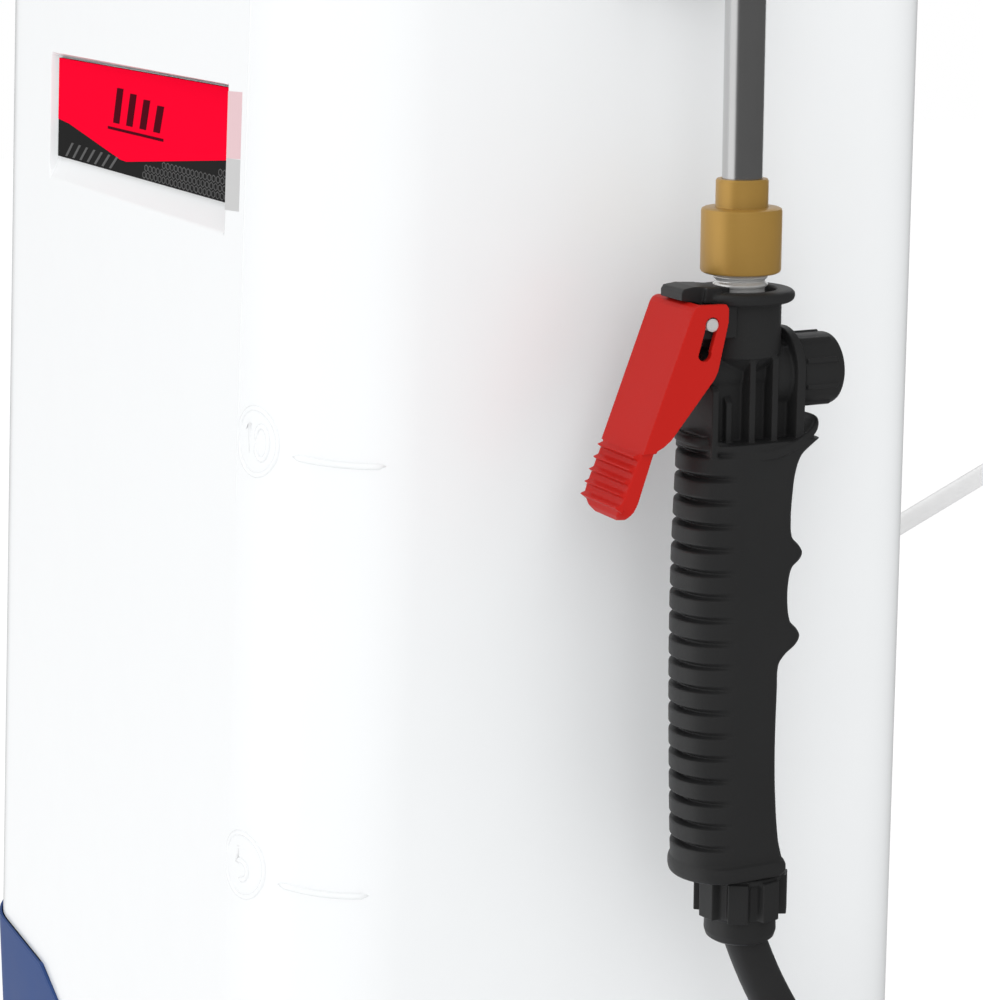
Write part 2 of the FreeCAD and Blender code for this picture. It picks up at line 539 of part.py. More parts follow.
def spray_wand():
    parts["handle_body"] = wand(handle_body())
    parts["trigger"] = wand(trigger())
    parts["trigger_pin"] = wand(rod(vec(-12.9, PIN_Y, PIN_Z), X_AXIS, 1.7, 25.8))

    adapter = ring(vec(0, 0, -25.5), Z_AXIS, 6.8, 3.4, 25)
    for step in range(4):
        crest = ring(vec(0, 0, -11.2 + 1.5 * step), Z_AXIS, 6.9, 6.45, 0.7)
        adapter = adapter.cut(crest)
    parts["lance_adapter"] = wand(adapter)
    nut_outline = [(6.8 + RUNNING, -6.7), (9.4, -6.7), (10, -6.1), (10, 8.8), (9.4, 9.4), (6.5, 9.4),
                   (6.5, 16.4), (5 + RUNNING, 16.4), (5 + RUNNING, 3.4), (6.8 + RUNNING, 3.4)]
    parts["lance_nut"] = wand(revolved(nut_outline))
    ferrule = [(3.4, -0.5), (6.7, -0.5), (6.7, 2.4), (5.2, 3.3), (5.0, 3.3), (5.0, 0.6), (3.4, 0.6)]
    parts["lance_seal"] = wand(revolved(ferrule))
    lance = ring(vec(0, 0, 0.6), Z_AXIS, LANCE_RADIUS, 4, LANCE_LENGTH)
    parts["lance_tube"] = wand(lance)

    # valve: stem, seal, spring and the screwed cap behind
    tip_radius = 2.0
    wall_y = PIN_Y - TRIGGER_GAP / cos(TRIGGER_LEAN) - (PIN_Z - VALVE_Z) * tan(TRIGGER_LEAN)
    tip_y = wall_y + tip_radius / cos(TRIGGER_LEAN) + 0.25
    stem = joined([Part.makeSphere(tip_radius, vec(0, tip_y, VALVE_Z)),
                   rod(vec(0, tip_y, VALVE_Z), Y_AXIS, tip_radius, 6 - tip_y),
                   rod(vec(0, 4.6, VALVE_Z), Y_AXIS, 5.6, 2)])
    parts["valve_stem"] = wand(stem)
    seal = ring(vec(0, 2.6, VALVE_Z), Y_AXIS, 5.4, 2, 2)
    parts["valve_seal"] = wand(seal)
    parts["valve_spring"] = wand(spring(7.3, 20.2, 4.2, 0.5, 6))
    cap = rod(vec(0, 14.05, VALVE_Z), Y_AXIS, 9.2, 12)
    cap = rounded(cap, 1.4, lambda e: e.Curve.TypeId == "Part::GeomCircle" and e.BoundBox.YMin > 20)
    cap = cap.fuse(rod(vec(0, 8, VALVE_Z), Y_AXIS, 6.45, 8)).cut(rod(vec(0, 7, VALVE_Z), Y_AXIS, 5.8, 14))
    for turn in range(12):
        notch = box(-0.7, 0.7, 14, 23.5, 8.8, 10)
        notch.rotate(vec(0, 0, 0), Y_AXIS, turn * 30)
        cap = cap.cut(notch.translated(vec(0, 0, VALVE_Z)))
    parts["valve_cap"] = wand(cap.removeSplitter())

    barb = joined([rod(vec(0, 3.6, -172), Z_AXIS, 8, 21.5), rod(vec(0, 3.6, -175), Z_AXIS, 4.4, 4)])
    parts["hose_barb"] = wand(barb.cut(rod(vec(0, 3.6, -176), Z_AXIS, 3, 30)))
    parts["hose_nut"] = wand(hose_nut(vec(0, 3.6, -162.2), vec(0, 0, -1)))
    filter_tube = ring(vec(0, 6, -148), Z_AXIS, 3.8, 2.8, 60)
    parts["handle_filter"] = wand(filter_tube)
    nozzle()


def nozzle():
    """The lance's top end: a bent elbow, the nozzle tip and its turning cap."""
    top = LANCE_LENGTH + 0.6
    tilt = vec(0, -cos(radians(30)), sin(radians(30)))
    knee = vec(0, 0, top + 8)
    elbow = joined([rod(vec(0, 0, top - 18), Z_AXIS, 7, 26), Part.makeSphere(7, knee),
                    between(knee, knee + tilt * 20, 7)])
    elbow = elbow.cut(rod(vec(0, 0, top - 19), Z_AXIS, LANCE_RADIUS, 19))
    elbow = elbow.cut(rod(vec(0, 0, top - 1), Z_AXIS, 2.5, 9))
    elbow = elbow.cut(Part.makeSphere(3.0, knee)).cut(between(knee, knee + tilt * 30, 2.4))
    parts["nozzle_elbow"] = wand(elbow)
    tip = between(knee + tilt * 20, knee + tilt * 26, 6.4)
    tip = tip.fuse(between(knee + tilt * 25, knee + tilt * 31, 3))
    parts["nozzle_tip"] = wand(tip.removeSplitter().cut(between(knee, knee + tilt * 40, 0.8)))
    cap = between(knee + tilt * 9, knee + tilt * 29, 10.5)
    cap = rounded(cap, 1.2, lambda e: e.Curve.TypeId == "Part::GeomCircle")
    cap = cap.cut(between(knee, knee + tilt * 26.1, 7 + RUNNING))
    cap = cap.cut(between(knee, knee + tilt * 40, 3 + RUNNING))
    parts["nozzle_cap"] = wand(cap)


def lance_clip():
    """The bracket high on the tank's right side that holds the lance; it opens outwards."""
    plate = box(HALF_WIDTH, HALF_WIDTH + 4, WAND_Y - 16, WAND_Y + 16, 440, 461)
    arm = box(HALF_WIDTH + 3, WAND_X - 7, WAND_Y - 5, WAND_Y + 5, 444, 457)
    jaw = rod(vec(WAND_X, WAND_Y, 443), Z_AXIS, 8.2, 15)
    lips = box(WAND_X, WAND_X + 9, WAND_Y - 8.2, WAND_Y + 8.2, 443, 458)
    clip = joined([plate, arm, jaw, lips])
    clip = clip.cut(rod(vec(WAND_X, WAND_Y, 440), Z_AXIS, LANCE_RADIUS + 0.08, 20))
    clip = clip.cut(box(WAND_X, WAND_X + 10, WAND_Y - 5.08, WAND_Y + 5.08, 440, 460))
    screws = []
    for y in (WAND_Y - 11, WAND_Y + 11):
        clip = clip.cut(rod(vec(HALF_WIDTH - 1, y, 450.5), X_AXIS, 2.05, 10))
        parts["tank_shell"] = parts["tank_shell"].cut(rod(vec(HALF_WIDTH - 5, y, 450.5), X_AXIS, 2.05, 6))
        head = rod(vec(HALF_WIDTH + 4, y, 450.5), X_AXIS, 4, 2)
        screws.append(head.fuse(rod(vec(HALF_WIDTH - 4, y, 450.5), X_AXIS, 2, 8.5)))
    parts["lance_clip"] = clip
    parts["clip_screws"] = group(screws)


# ---------------------------------------------------------------- harness
def band(outline, thickness, x0, x1):
    """A strap seen from the side: a line of (y, z) points given a thickness and a width."""
    count = len(outline)
    shifted = []
    for index, (y, z) in enumerate(outline):
        y0, z0 = outline[max(index - 1, 0)]
        y1, z1 = outline[min(index + 1, count - 1)]
        length = hypot(y1 - y0, z1 - z0)
        shifted.append((y - (z1 - z0) / length * thickness, z + (y1 - y0) / length * thickness))
    return side_plate(outline + shifted[::-1], x0, x1)


def harness():
    pad = box(-86, 86, BACK_Y + 0.5, BACK_Y + 16, 128, 420)
    parts["back_pad"] = rounded(pad, 6, lambda e: e.BoundBox.YMin > BACK_Y + 10)

    hooks = []
    anchors = []
    for side in (-1, 1):
        x = side * 50
        name = "left" if side < 0 else "right"
        anchors.append(joined([box(x - 26, x + 26, BACK_Y, BACK_Y + 4, 432, 458),
                               box(x - 26, x - 22, BACK_Y, BACK_Y + 16, 432, 446),
                               box(x + 22, x + 26, BACK_Y, BACK_Y + 16, 432, 446),
                               box(x - 26, x + 26, BACK_Y + 11, BACK_Y + 16, 436, 442)]))
        pad_line = [(BACK_Y + 17.5, 425), (BACK_Y + 21, 400), (BACK_Y + 23, 340),
                    (BACK_Y + 23, 270), (BACK_Y + 20, 200)]
        parts["shoulder_pad_" + name] = band(pad_line, 10, x - 24, x + 24)
        buckle = box(x - 22, x + 22, BACK_Y + 17.5, BACK_Y + 24, 168, 192)
        buckle = buckle.cut(box(x - 16, x + 16, BACK_Y + 10, BACK_Y + 34, 184, 188))
        buckle = buckle.cut(box(x - 16, x + 16, BACK_Y + 10, BACK_Y + 34, 172, 176))
        parts["strap_buckle_" + name] = buckle
        web_line = [(BACK_Y + 20.5, 164), (BACK_Y + 18.5, 122), (BACK_Y + 7.5, 66)]
        parts["lower_webbing_" + name] = band(web_line, 2.2, x - 15, x + 15)
        hooks.append(joined([box(x - 20, x + 20, BACK_Y, BACK_Y + 4, 40, 62),
                             box(x - 20, x - 16, BACK_Y, BACK_Y + 11, 50, 62),
                             box(x + 16, x + 20, BACK_Y, BACK_Y + 11, 50, 62),
                             box(x - 20, x + 20, BACK_Y + 7, BACK_Y + 11, 54, 60)]))
    parts["upper_strap_anchors"] = group(anchors)
    parts["lower_strap_hooks"] = group(hooks)


# ---------------------------------------------------------------- hose
def hose():
    nut_y = WAND_Y + 3.6
    # down from the handle, over to the coil's top turn, and out of its bottom turn to the outlet
    top_turn = 33.0
    upper = [(WAND_X, nut_y - 0.2, WAND_Z - 177), (WAND_X, nut_y + 4.4, WAND_Z - 190),
             (WAND_X + 0.5, nut_y + 14, WAND_Z - 208), (WAND_X + 2, nut_y + 31, WAND_Z - 236),
             (WAND_X + 4, nut_y + 50, WAND_Z - 272), (WAND_X + 6, nut_y + 74, WAND_Z - 307),
             (WAND_X + 9.2, nut_y + 101.3, WAND_Z - 331.5), (WAND_X + 19.5, nut_y + 128.4, top_turn + 4.5),
             (WAND_X + 36.8, nut_y + 146.7, top_turn + 0.8), (COIL_X - 12, COIL_Y + 54.8, top_turn),
             (COIL_X + 12, COIL_Y + 56.9, top_turn)]
    parts["hose_upper"] = route_tube(upper, HOSE_RADIUS, "hose_upper")
    lower = [(COIL_X + 12, COIL_Y - 55, HOSE_RADIUS), (COIL_X - 22, OUTLET_Y - 0.3, HOSE_RADIUS + 0.8),
             (COIL_X - 53, OUTLET_Y + 0.1, OUTLET_Z - 2.5), (COIL_X - 81.6, OUTLET_Y, OUTLET_Z)]
    parts["hose_lower"] = route_tube(lower, HOSE_RADIUS, "hose_lower")
    inner = COIL_RADIUS - 8
    outer = COIL_RADIUS + 8
    parts["hose_coil"] = ring(vec(COIL_X, COIL_Y, 0), Z_AXIS, outer, inner, top_turn + HOSE_RADIUS)


tank()
filler()
carry_handle()
base()
pump()
outlet()
spray_wand()
lance_clip()
harness()
hose()

os.makedirs("parts", exist_ok=True)
for name, shape in parts.items():
    shape.exportStep("parts/" + name + ".step")
    print(name, "solids", len(shape.Solids), "valid", shape.isValid(), "volume", round(shape.Volume))
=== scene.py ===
import json
from math import atan2, copysign, cos, degrees, exp, hypot, pi, radians, sin, sqrt, tan

import bmesh
import bpy
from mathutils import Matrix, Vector

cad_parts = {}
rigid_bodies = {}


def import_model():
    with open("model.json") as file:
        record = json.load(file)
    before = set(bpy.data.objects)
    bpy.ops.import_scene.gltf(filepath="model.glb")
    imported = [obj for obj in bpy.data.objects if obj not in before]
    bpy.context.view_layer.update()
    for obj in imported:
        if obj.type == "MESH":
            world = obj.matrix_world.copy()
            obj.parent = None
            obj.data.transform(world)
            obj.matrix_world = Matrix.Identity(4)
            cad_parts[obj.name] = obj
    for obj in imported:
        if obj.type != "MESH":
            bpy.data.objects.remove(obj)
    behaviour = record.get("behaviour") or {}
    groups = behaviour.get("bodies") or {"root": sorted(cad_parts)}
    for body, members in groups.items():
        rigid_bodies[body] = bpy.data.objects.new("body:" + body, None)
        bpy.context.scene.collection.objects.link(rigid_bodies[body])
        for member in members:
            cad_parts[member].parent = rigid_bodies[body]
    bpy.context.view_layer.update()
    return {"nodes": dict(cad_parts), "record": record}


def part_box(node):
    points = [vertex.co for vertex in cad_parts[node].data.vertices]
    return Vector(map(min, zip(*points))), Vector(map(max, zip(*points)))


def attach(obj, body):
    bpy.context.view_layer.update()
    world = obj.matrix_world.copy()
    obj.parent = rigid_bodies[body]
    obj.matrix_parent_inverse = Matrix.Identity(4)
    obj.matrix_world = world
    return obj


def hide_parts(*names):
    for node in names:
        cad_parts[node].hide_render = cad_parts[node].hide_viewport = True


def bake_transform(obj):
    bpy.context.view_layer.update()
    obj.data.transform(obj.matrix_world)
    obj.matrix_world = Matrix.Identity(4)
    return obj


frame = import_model()

# Backpack sprayer. Metres, in the frame of the CAD model: +X is the wearer's right, +Y points at the
# wearer's back, +Z is up. Lengths are written in millimetres and scaled by MM.
MM = 0.001
NODES = frame["nodes"]


# ---- places read from the frame
def low(node):
    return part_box(node)[0] / MM


def high(node):
    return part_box(node)[1] / MM


def middle(node):
    return (low(node) + high(node)) / 2


HALF_WIDTH = high("tank_shell").x
BACK_Y = high("tank_shell").y
FOOT_FRONT_Y = low("tank_shell").y
BASE_TOP = low("tank_shell").z
NUT_FOOT = 6.7                       # from the middle of the lance nut down to its lower face
LANCE = Vector((middle("lance_tube").x, middle("lance_tube").y, low("lance_nut").z + NUT_FOOT))
FRONT_LEAN = radians(3.0)
TANK_TOP = BASE_TOP + 385.0
FRONT_CORNER = 37.0
BACK_CORNER = 25.0
SHOULDER = 24.0


# ---- node-based materials
def new_material(name):
    material = bpy.data.materials.new(name)
    material.use_nodes = True
    tree = material.node_tree
    shader = tree.nodes["Principled BSDF"]
    return material, tree, shader


def node(tree, kind, inputs=None, **settings):
    made = tree.nodes.new(kind)
    for key, value in settings.items():
        setattr(made, key, value)
    for key, value in (inputs or {}).items():
        made.inputs[key].default_value = value
    return made


def coordinates(tree, scale=(1, 1, 1)):
    """Object coordinates in metres, stretched by scale."""
    source = node(tree, "ShaderNodeTexCoord")
    mapping = node(tree, "ShaderNodeMapping")
    mapping.inputs["Scale"].default_value = scale
    tree.links.new(source.outputs["Object"], mapping.inputs["Vector"])
    return mapping.outputs["Vector"]


def noise(tree, vector, scale, detail=3.0, roughness=0.55):
    made = node(tree, "ShaderNodeTexNoise", {"Scale": scale, "Detail": detail, "Roughness": roughness})
    tree.links.new(vector, made.inputs["Vector"])
    return made.outputs["Fac"]


def spread(tree, value, low_value, high_value):
    """Maps a 0..1 value to a range."""
    made = node(tree, "ShaderNodeMapRange", {"To Min": low_value, "To Max": high_value})
    tree.links.new(value, made.inputs["Value"])
    return made.outputs["Result"]


def blend_colours(tree, factor, first, second):
    made = node(tree, "ShaderNodeMix", data_type="RGBA")
    made.inputs["A"].default_value = (*first, 1)
    made.inputs["B"].default_value = (*second, 1)
    tree.links.new(factor, made.inputs["Factor"])
    return made.outputs["Result"]


def bump(tree, shader, height, strength, distance):
    made = node(tree, "ShaderNodeBump", {"Strength": strength, "Distance": distance})
    tree.links.new(height, made.inputs["Height"])
    tree.links.new(made.outputs["Normal"], shader.inputs["Normal"])


def tint(tree, shader, colour, cloud, variation):
    """A base colour that wanders a little to both sides of the given one."""
    darker = tuple(c * (1 - variation) for c in colour)
    lighter = tuple(min(1.0, c * (1 + variation)) for c in colour)
    tree.links.new(blend_colours(tree, cloud, darker, lighter), shader.inputs["Base Color"])


def moulded(name, colour, roughness, grain=2200.0, grain_depth=0.00003, variation=0.12, specular=0.5):
    """Injection-moulded plastic or rubber: fine grain, and slightly uneven colour and gloss."""
    material, tree, shader = new_material(name)
    vector = coordinates(tree)
    cloud = noise(tree, vector, 38.0, 4.0)
    tint(tree, shader, colour, cloud, variation)
    gloss = spread(tree, cloud, roughness * 0.82, min(1.0, roughness * 1.18))
    tree.links.new(gloss, shader.inputs["Roughness"])
    shader.inputs["Specular IOR Level"].default_value = specular
    bump(tree, shader, noise(tree, vector, grain, 2.0), 0.6, grain_depth)
    return material


def metal(name, colour, roughness, stretch=(1, 1, 1), scale=900.0, metallic=1.0):
    """Turned or drawn metal, with fine lines drawn out across the stretched direction."""
    material, tree, shader = new_material(name)
    vector = coordinates(tree, stretch)
    lines = noise(tree, vector, scale, 3.0, 0.7)
    cloud = noise(tree, coordinates(tree), 60.0)
    tint(tree, shader, colour, cloud, 0.08)
    shader.inputs["Metallic"].default_value = metallic
    gloss = spread(tree, lines, roughness * 0.7, min(1.0, roughness * 1.3))
    tree.links.new(gloss, shader.inputs["Roughness"])
    bump(tree, shader, lines, 0.5, 0.000012)
    return material


MATERIALS = {
    "tank_white": moulded("tank_white", (0.86, 0.875, 0.885), 0.24, 900.0, 0.00001, variation=0.01),
    "base_blue": moulded("base_blue", (0.036, 0.074, 0.215), 0.5, specular=0.06),
    "black_plastic": moulded("black_plastic", (0.017, 0.0172, 0.0175), 0.5, 1600.0, specular=0.4),
    "trigger_red": moulded("trigger_red", (0.47, 0.011, 0.007), 0.45, 1800.0, variation=0.05, specular=0.12),
    "label": moulded("label", (0.95, 0.003, 0.030), 0.35, variation=0.02, specular=0.0),
    "label_black": moulded("label_black", (0.022, 0.022, 0.022), 0.35, specular=0.0),
    "label_grey": moulded("label_grey", (0.12, 0.12, 0.12), 0.35, specular=0.0),
    "label_mark": moulded("label_mark", (0.075, 0.006, 0.012), 0.35, specular=0.0),
    "lip_pink": moulded("lip_pink", (0.74, 0.50, 0.53), 0.3, variation=0.03, specular=0.3),
    "lip_grey": moulded("lip_grey", (0.53, 0.53, 0.53), 0.3, variation=0.03, specular=0.3),
    "brass": metal("brass", (0.43, 0.25, 0.056), 0.36, (1, 1, 0.05), metallic=0.4),
    "stainless": metal("stainless", (0.55, 0.55, 0.55), 0.22, (1, 1, 0.02)),
    "bright_steel": metal("bright_steel", (0.84, 0.84, 0.83), 0.22, metallic=0.55),
    "zinc": metal("zinc", (0.93, 0.93, 0.93), 0.45, (0.1, 1, 1), 500.0, metallic=0.15),
    "rubber": moulded("rubber", (0.02, 0.02, 0.02), 0.7, specular=0.3),
    "hose_rubber": moulded("hose_rubber", (0.020, 0.020, 0.0205), 0.5, 1200.0, specular=0.3),
    "natural_plastic": moulded("natural_plastic", (0.72, 0.72, 0.68), 0.4),
    "pad_fabric": moulded("pad_fabric", (0.03, 0.03, 0.035), 0.9, specular=0.1),
    "webbing": moulded("webbing", (0.02, 0.02, 0.022), 0.8, specular=0.2),
}


# ---- mesh helpers, in millimetres
def skin(low_ring, high_ring):
    """A closed shape between two outlines that have the same number of points."""
    count = len(low_ring)
    faces = [tuple(range(count - 1, -1, -1)), tuple(range(count, 2 * count))]
    for i in range(count):
        j = (i + 1) % count
        faces.append((i, j, count + j, count + i))
    return list(low_ring) + list(high_ring), faces


def prism(outline, start, end, axis="X"):
    """A flat outline pushed along an axis. Outlines are (y, z) along X, (x, z) along Y, (x, y) along Z."""
    rings = []
    for place in (start, end):
        rings.append([{"X": (place, a, b), "Y": (a, place, b), "Z": (a, b, place)}[axis] for a, b in outline])
    return skin(*rings)


def cuboid(x0, x1, y0, y1, z0, z1):
    return prism([(x0, y0), (x1, y0), (x1, y1), (x0, y1)], z0, z1, "Z")


def lofted(rings, closed_ends=True):
    """Joins rings that have the same number of points; the ends are closed with flat caps."""
    count = len(rings[0])
    vertices = [p for r in rings for p in r]
    faces = []
    for k in range(len(rings) - 1):
        for i in range(count):
            j = (i + 1) % count
            faces.append((k * count + i, k * count + j, (k + 1) * count + j, (k + 1) * count + i))
    if closed_ends:
        last = (len(rings) - 1) * count
        faces.append(tuple(range(count - 1, -1, -1)))
        faces.append(tuple(range(last, last + count)))
    return vertices, faces


def axes_for(direction):
    along = Vector(direction).normalized()
    side = Vector((0, 0, 1)) if abs(along.z) < 0.9 else Vector((1, 0, 0))
    first = side.cross(along).normalized()
    return first, along.cross(first), along


def lathe(profile, centre=(0, 0, 0), direction=(0, 0, 1), segments=96, loop=False):
    """Turns (radius, height) points about a line. With loop the profile closes on itself as a ring."""
    u, v, along = axes_for(direction)
    centre = Vector(centre)
    rings = []
    for radius, height in profile:
        ring = []
        for i in range(segments):
            angle = 2 * pi * i / segments
            spot = centre + along * height + (u * cos(angle) + v * sin(angle)) * max(radius, 0.001)
            ring.append(tuple(spot))
        rings.append(ring)
    if loop:
        return lofted(rings + rings[:1], False)
    return lofted(rings)


def swept(points, radius, segments=24):
    """A round tube along a line of points, with flat ends; radius is a number or a function of 0..1."""
    path = [Vector(p) for p in points]
    u, v, along = axes_for(path[1] - path[0])
    rings = []
    for k, spot in enumerate(path):
        ahead = (path[min(k + 1, len(path) - 1)] - path[max(k - 1, 0)]).normalized()
        u = (u - ahead * u.dot(ahead)).normalized()
        v = ahead.cross(u)
        r = radius(k / (len(path) - 1)) if callable(radius) else radius
        rings.append([tuple(spot + (u * cos(t) + v * sin(t)) * r)
                      for t in (2 * pi * i / segments for i in range(segments))])
    return lofted(rings)


def moved(shape, offset):
    vertices, faces = shape
    return [tuple(Vector(p) + Vector(offset)) for p in vertices], faces


def link(name, data, material=None):
    made = bpy.data.objects.new(name, data)
    bpy.context.scene.collection.objects.link(made)
    if material:
        data.materials.append(material)
    return made


def coat(data, material):
    data.materials.clear()
    data.materials.append(material)


def mesh_from(name, shapes):
    """One mesh in metres from shapes in millimetres."""
    vertices = []
    faces = []
    for shape_vertices, shape_faces in shapes:
        base = len(vertices)
        vertices += [tuple(c * MM for c in p) for p in shape_vertices]
        faces += [tuple(i + base for i in face) for face in shape_faces]
    data = bpy.data.meshes.new(name)
    data.from_pydata(vertices, [], faces)
    work = bmesh.new()
    work.from_mesh(data)
    bmesh.ops.remove_doubles(work, verts=work.verts, dist=1e-6)
    bmesh.ops.recalc_face_normals(work, faces=work.faces)
    work.to_mesh(data)
    work.free()
    return data


def settle(made):
    """Turns an object's modifiers into its mesh."""
    bpy.context.view_layer.update()
    graph = bpy.context.evaluated_depsgraph_get()
    data = bpy.data.meshes.new_from_object(made.evaluated_get(graph))
    made.modifiers.clear()
    old = made.data
    made.data = data
    data.name = made.name
    bpy.data.meshes.remove(old)
    return data


def shade(data, sharp_angle):
    """Smooth shading, with edges kept sharp above an angle in degrees."""
    data.shade_smooth()
    if sharp_angle is not None:
        data.set_sharp_from_angle(angle=radians(sharp_angle))


def solid(name, shapes, material, sharp_angle):
    made = link(name, mesh_from(name, shapes), MATERIALS[material])
    shade(made.data, sharp_angle)
    return made


def carved(name, shapes, cuts):
    """Shapes less the cuts, as a mesh object that still needs a material."""
    made = link(name, mesh_from(name, shapes))
    cutter = link(name + "_cutter", mesh_from(name + "_cutter", cuts))
    cut = made.modifiers.new("cut", "BOOLEAN")
    cut.operation = "DIFFERENCE"
    cut.solver = "EXACT"
    cut.use_self = True
    cut.object = cutter
    settle(made)
    bpy.data.objects.remove(cutter)
    return made


def round_over(made, material, voxel, passes, keep):
    """Fuses an object's closed shapes into one skin with softly rounded edges."""
    remesh = made.modifiers.new("remesh", "REMESH")
    remesh.mode = "VOXEL"
    remesh.voxel_size = voxel * MM * 1
    soften = made.modifiers.new("soften", "SMOOTH")
    soften.factor = 0.5
    soften.iterations = passes
    thin = made.modifiers.new("thin", "DECIMATE")
    thin.ratio = keep
    data = settle(made)
    coat(data, MATERIALS[material])
    data.shade_smooth()
    return made


def moulding(name, shapes, material, voxel, passes, keep=0.5):
    """Overlapping closed shapes as one rounded piece."""
    made = link(name, mesh_from(name, shapes))
    return round_over(made, material, voxel, passes, keep)


SLOT_OF = {part["node"]: part["material_slot"] for part in frame["record"]["subparts"]}


def body_of(name):
    return NODES[name].parent.name.split(":")[1]


def assign(made, body, slot, *nodes):
    """Says which body carries a piece and which CAD nodes it stands in for; the slot argument is not used."""
    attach(made, body)
    if nodes:
        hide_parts(*nodes)
    return made


def softened(name, voxel, passes=4, keep=0.4, material="black_plastic"):
    """A copy of a CAD piece with its edges rounded over, standing in for it."""
    made = round_over(link(name + "_finish", NODES[name].data.copy()), material, voxel, passes, keep)
    return assign(made, body_of(name), SLOT_OF[name], name)


def from_nut(shapes):
    """Shapes drawn about the middle of the lance nut, moved to the wand's place."""
    return [moved(shape, LANCE) for shape in shapes]


def curve_through(points, samples):
    """Smooth values through (position, value) points, sampled by position (monotone cubic)."""
    spots = sorted(points)
    slopes = []
    for i in range(len(spots)):
        a = spots[max(i - 1, 0)]
        b = spots[min(i + 1, len(spots) - 1)]
        slopes.append((b[1] - a[1]) / (b[0] - a[0]))
    results = []
    for t in samples:
        i = 0
        while i < len(spots) - 2 and t > spots[i + 1][0]:
            i += 1
        (t0, v0), (t1, v1) = spots[i], spots[i + 1]
        span = t1 - t0
        u = min(1.0, max(0.0, (t - t0) / span))
        h00 = 2 * u**3 - 3 * u**2 + 1
        h10 = u**3 - 2 * u**2 + u
        h01 = -2 * u**3 + 3 * u**2
        h11 = u**3 - u**2
        results.append(h00 * v0 + h10 * span * slopes[i] + h01 * v1 + h11 * span * slopes[i + 1])
    return results


for part in frame["record"]["subparts"]:
    coat(NODES[part["node"]].data, MATERIALS[part["material_slot"]])


# ---- spray handle
VALVE_Z = -32.3
PIN_Y = -14.0
PIN_Z = -17.5
GRIP_CENTRE_Y = -5.0
GRIP_HALF = 11.5
GRIP_CORNER = 3.4
GRIP_FOOT = -161.2
GRIP_LENGTH = 113.4
RIB_PITCH = 6.0
RIB_TOP = -49.2
RIB_COUNT = 18
NOTCH_DEPTH = 3.0
NOTCH_SHARE = 0.34                   # of a pitch
NOTCH_DEEPEST = 0.62                 # of the notch, from its top
COLLAR_Y = 7.0
COLLAR_HALF = 12.4
HOSE_EXIT_Y = 3.6


def grip_ring(z, front, back, notch):
    """The grip's outline at one height: a round front with a notch, flat sides and a rounded back."""
    points = []
    front_steps = 44
    for i in range(front_steps + 1):
        angle = pi + pi * i / front_steps
        nearness = max(0.0, -sin(angle))
        depth = notch * nearness
        x = (GRIP_HALF - depth * abs(cos(angle))) * cos(angle)
        y = GRIP_CENTRE_Y + (front - depth) * sin(angle)
        points.append((x, y, z))
    side_steps = 8
    flat_end = back - GRIP_CORNER
    side = [GRIP_CENTRE_Y + (flat_end - GRIP_CENTRE_Y) * i / side_steps for i in range(1, side_steps)]
    points += [(GRIP_HALF, y, z) for y in side]
    for centre_x, first in ((GRIP_HALF - GRIP_CORNER, 0.0), (-GRIP_HALF + GRIP_CORNER, pi / 2)):
        for i in range(9):
            angle = first + pi / 2 * i / 8
            x = centre_x + GRIP_CORNER * cos(angle)
            points.append((x, flat_end + GRIP_CORNER * sin(angle), z))
    points += [(-GRIP_HALF, y, z) for y in reversed(side)]
    return points


def notch_depth(z):
    """How deep the finger notches cut at a height: flat-faced ribs with narrow V notches between."""
    place = (RIB_TOP - z) / RIB_PITCH
    if place < 0 or place > RIB_COUNT:
        return 0.0
    share = place % 1.0
    if share > NOTCH_SHARE:
        return 0.0
    across = share / NOTCH_SHARE
    if across < NOTCH_DEEPEST:
        return NOTCH_DEPTH * across / NOTCH_DEEPEST
    return NOTCH_DEPTH * (1 - across) / (1 - NOTCH_DEEPEST)


def grip_shape():
    """The ribbed grip with its two thumb bumps; the lines are (height, reach) pairs."""
    back_line = [(-163.0, 10.4), (-159.0, 10.6), (-152.0, 9.1), (-140.0, 8.0), (-128.0, 7.6), (-112.0, 7.8),
                 (-105.6, 8.1), (-102.8, 10.2), (-100.8, 12.9), (-98.8, 14.0), (-97.0, 13.2), (-94.8, 11.2),
                 (-90.0, 10.3), (-84.5, 10.4), (-80.6, 11.4), (-78.6, 13.6), (-77.0, 14.2), (-75.2, 13.2),
                 (-73.0, 11.2), (-68.0, 10.7), (-62.0, 11.0), (-56.0, 11.8), (-52.0, 13.4), (-49.6, 16.2),
                 (-47.0, 20.0)]
    front_line = [(-163.0, 10.4), (-150.0, 11.1), (-110.0, 12.1), (-80.0, 12.0), (-56.0, 11.0), (-46.0, 10.6)]
    step = 0.25
    levels = [GRIP_FOOT + step * i for i in range(int(GRIP_LENGTH / step) + 1)]
    rings = []
    for z, back, front in zip(levels, curve_through(back_line, levels), curve_through(front_line, levels)):
        rings.append(grip_ring(z, front, back, notch_depth(z)))
    return lofted(rings)


def rim_height(y):
    """The collar above the grip dips in the middle and rises towards the thumb."""
    return curve_through([(-18.0, -46.4), (-12.0, -47.6), (-2.0, -50.4), (4.0, -50.6), (12.0, -48.2),
                          (18.0, -45.6), (24.0, -43.6)], [y])[0]


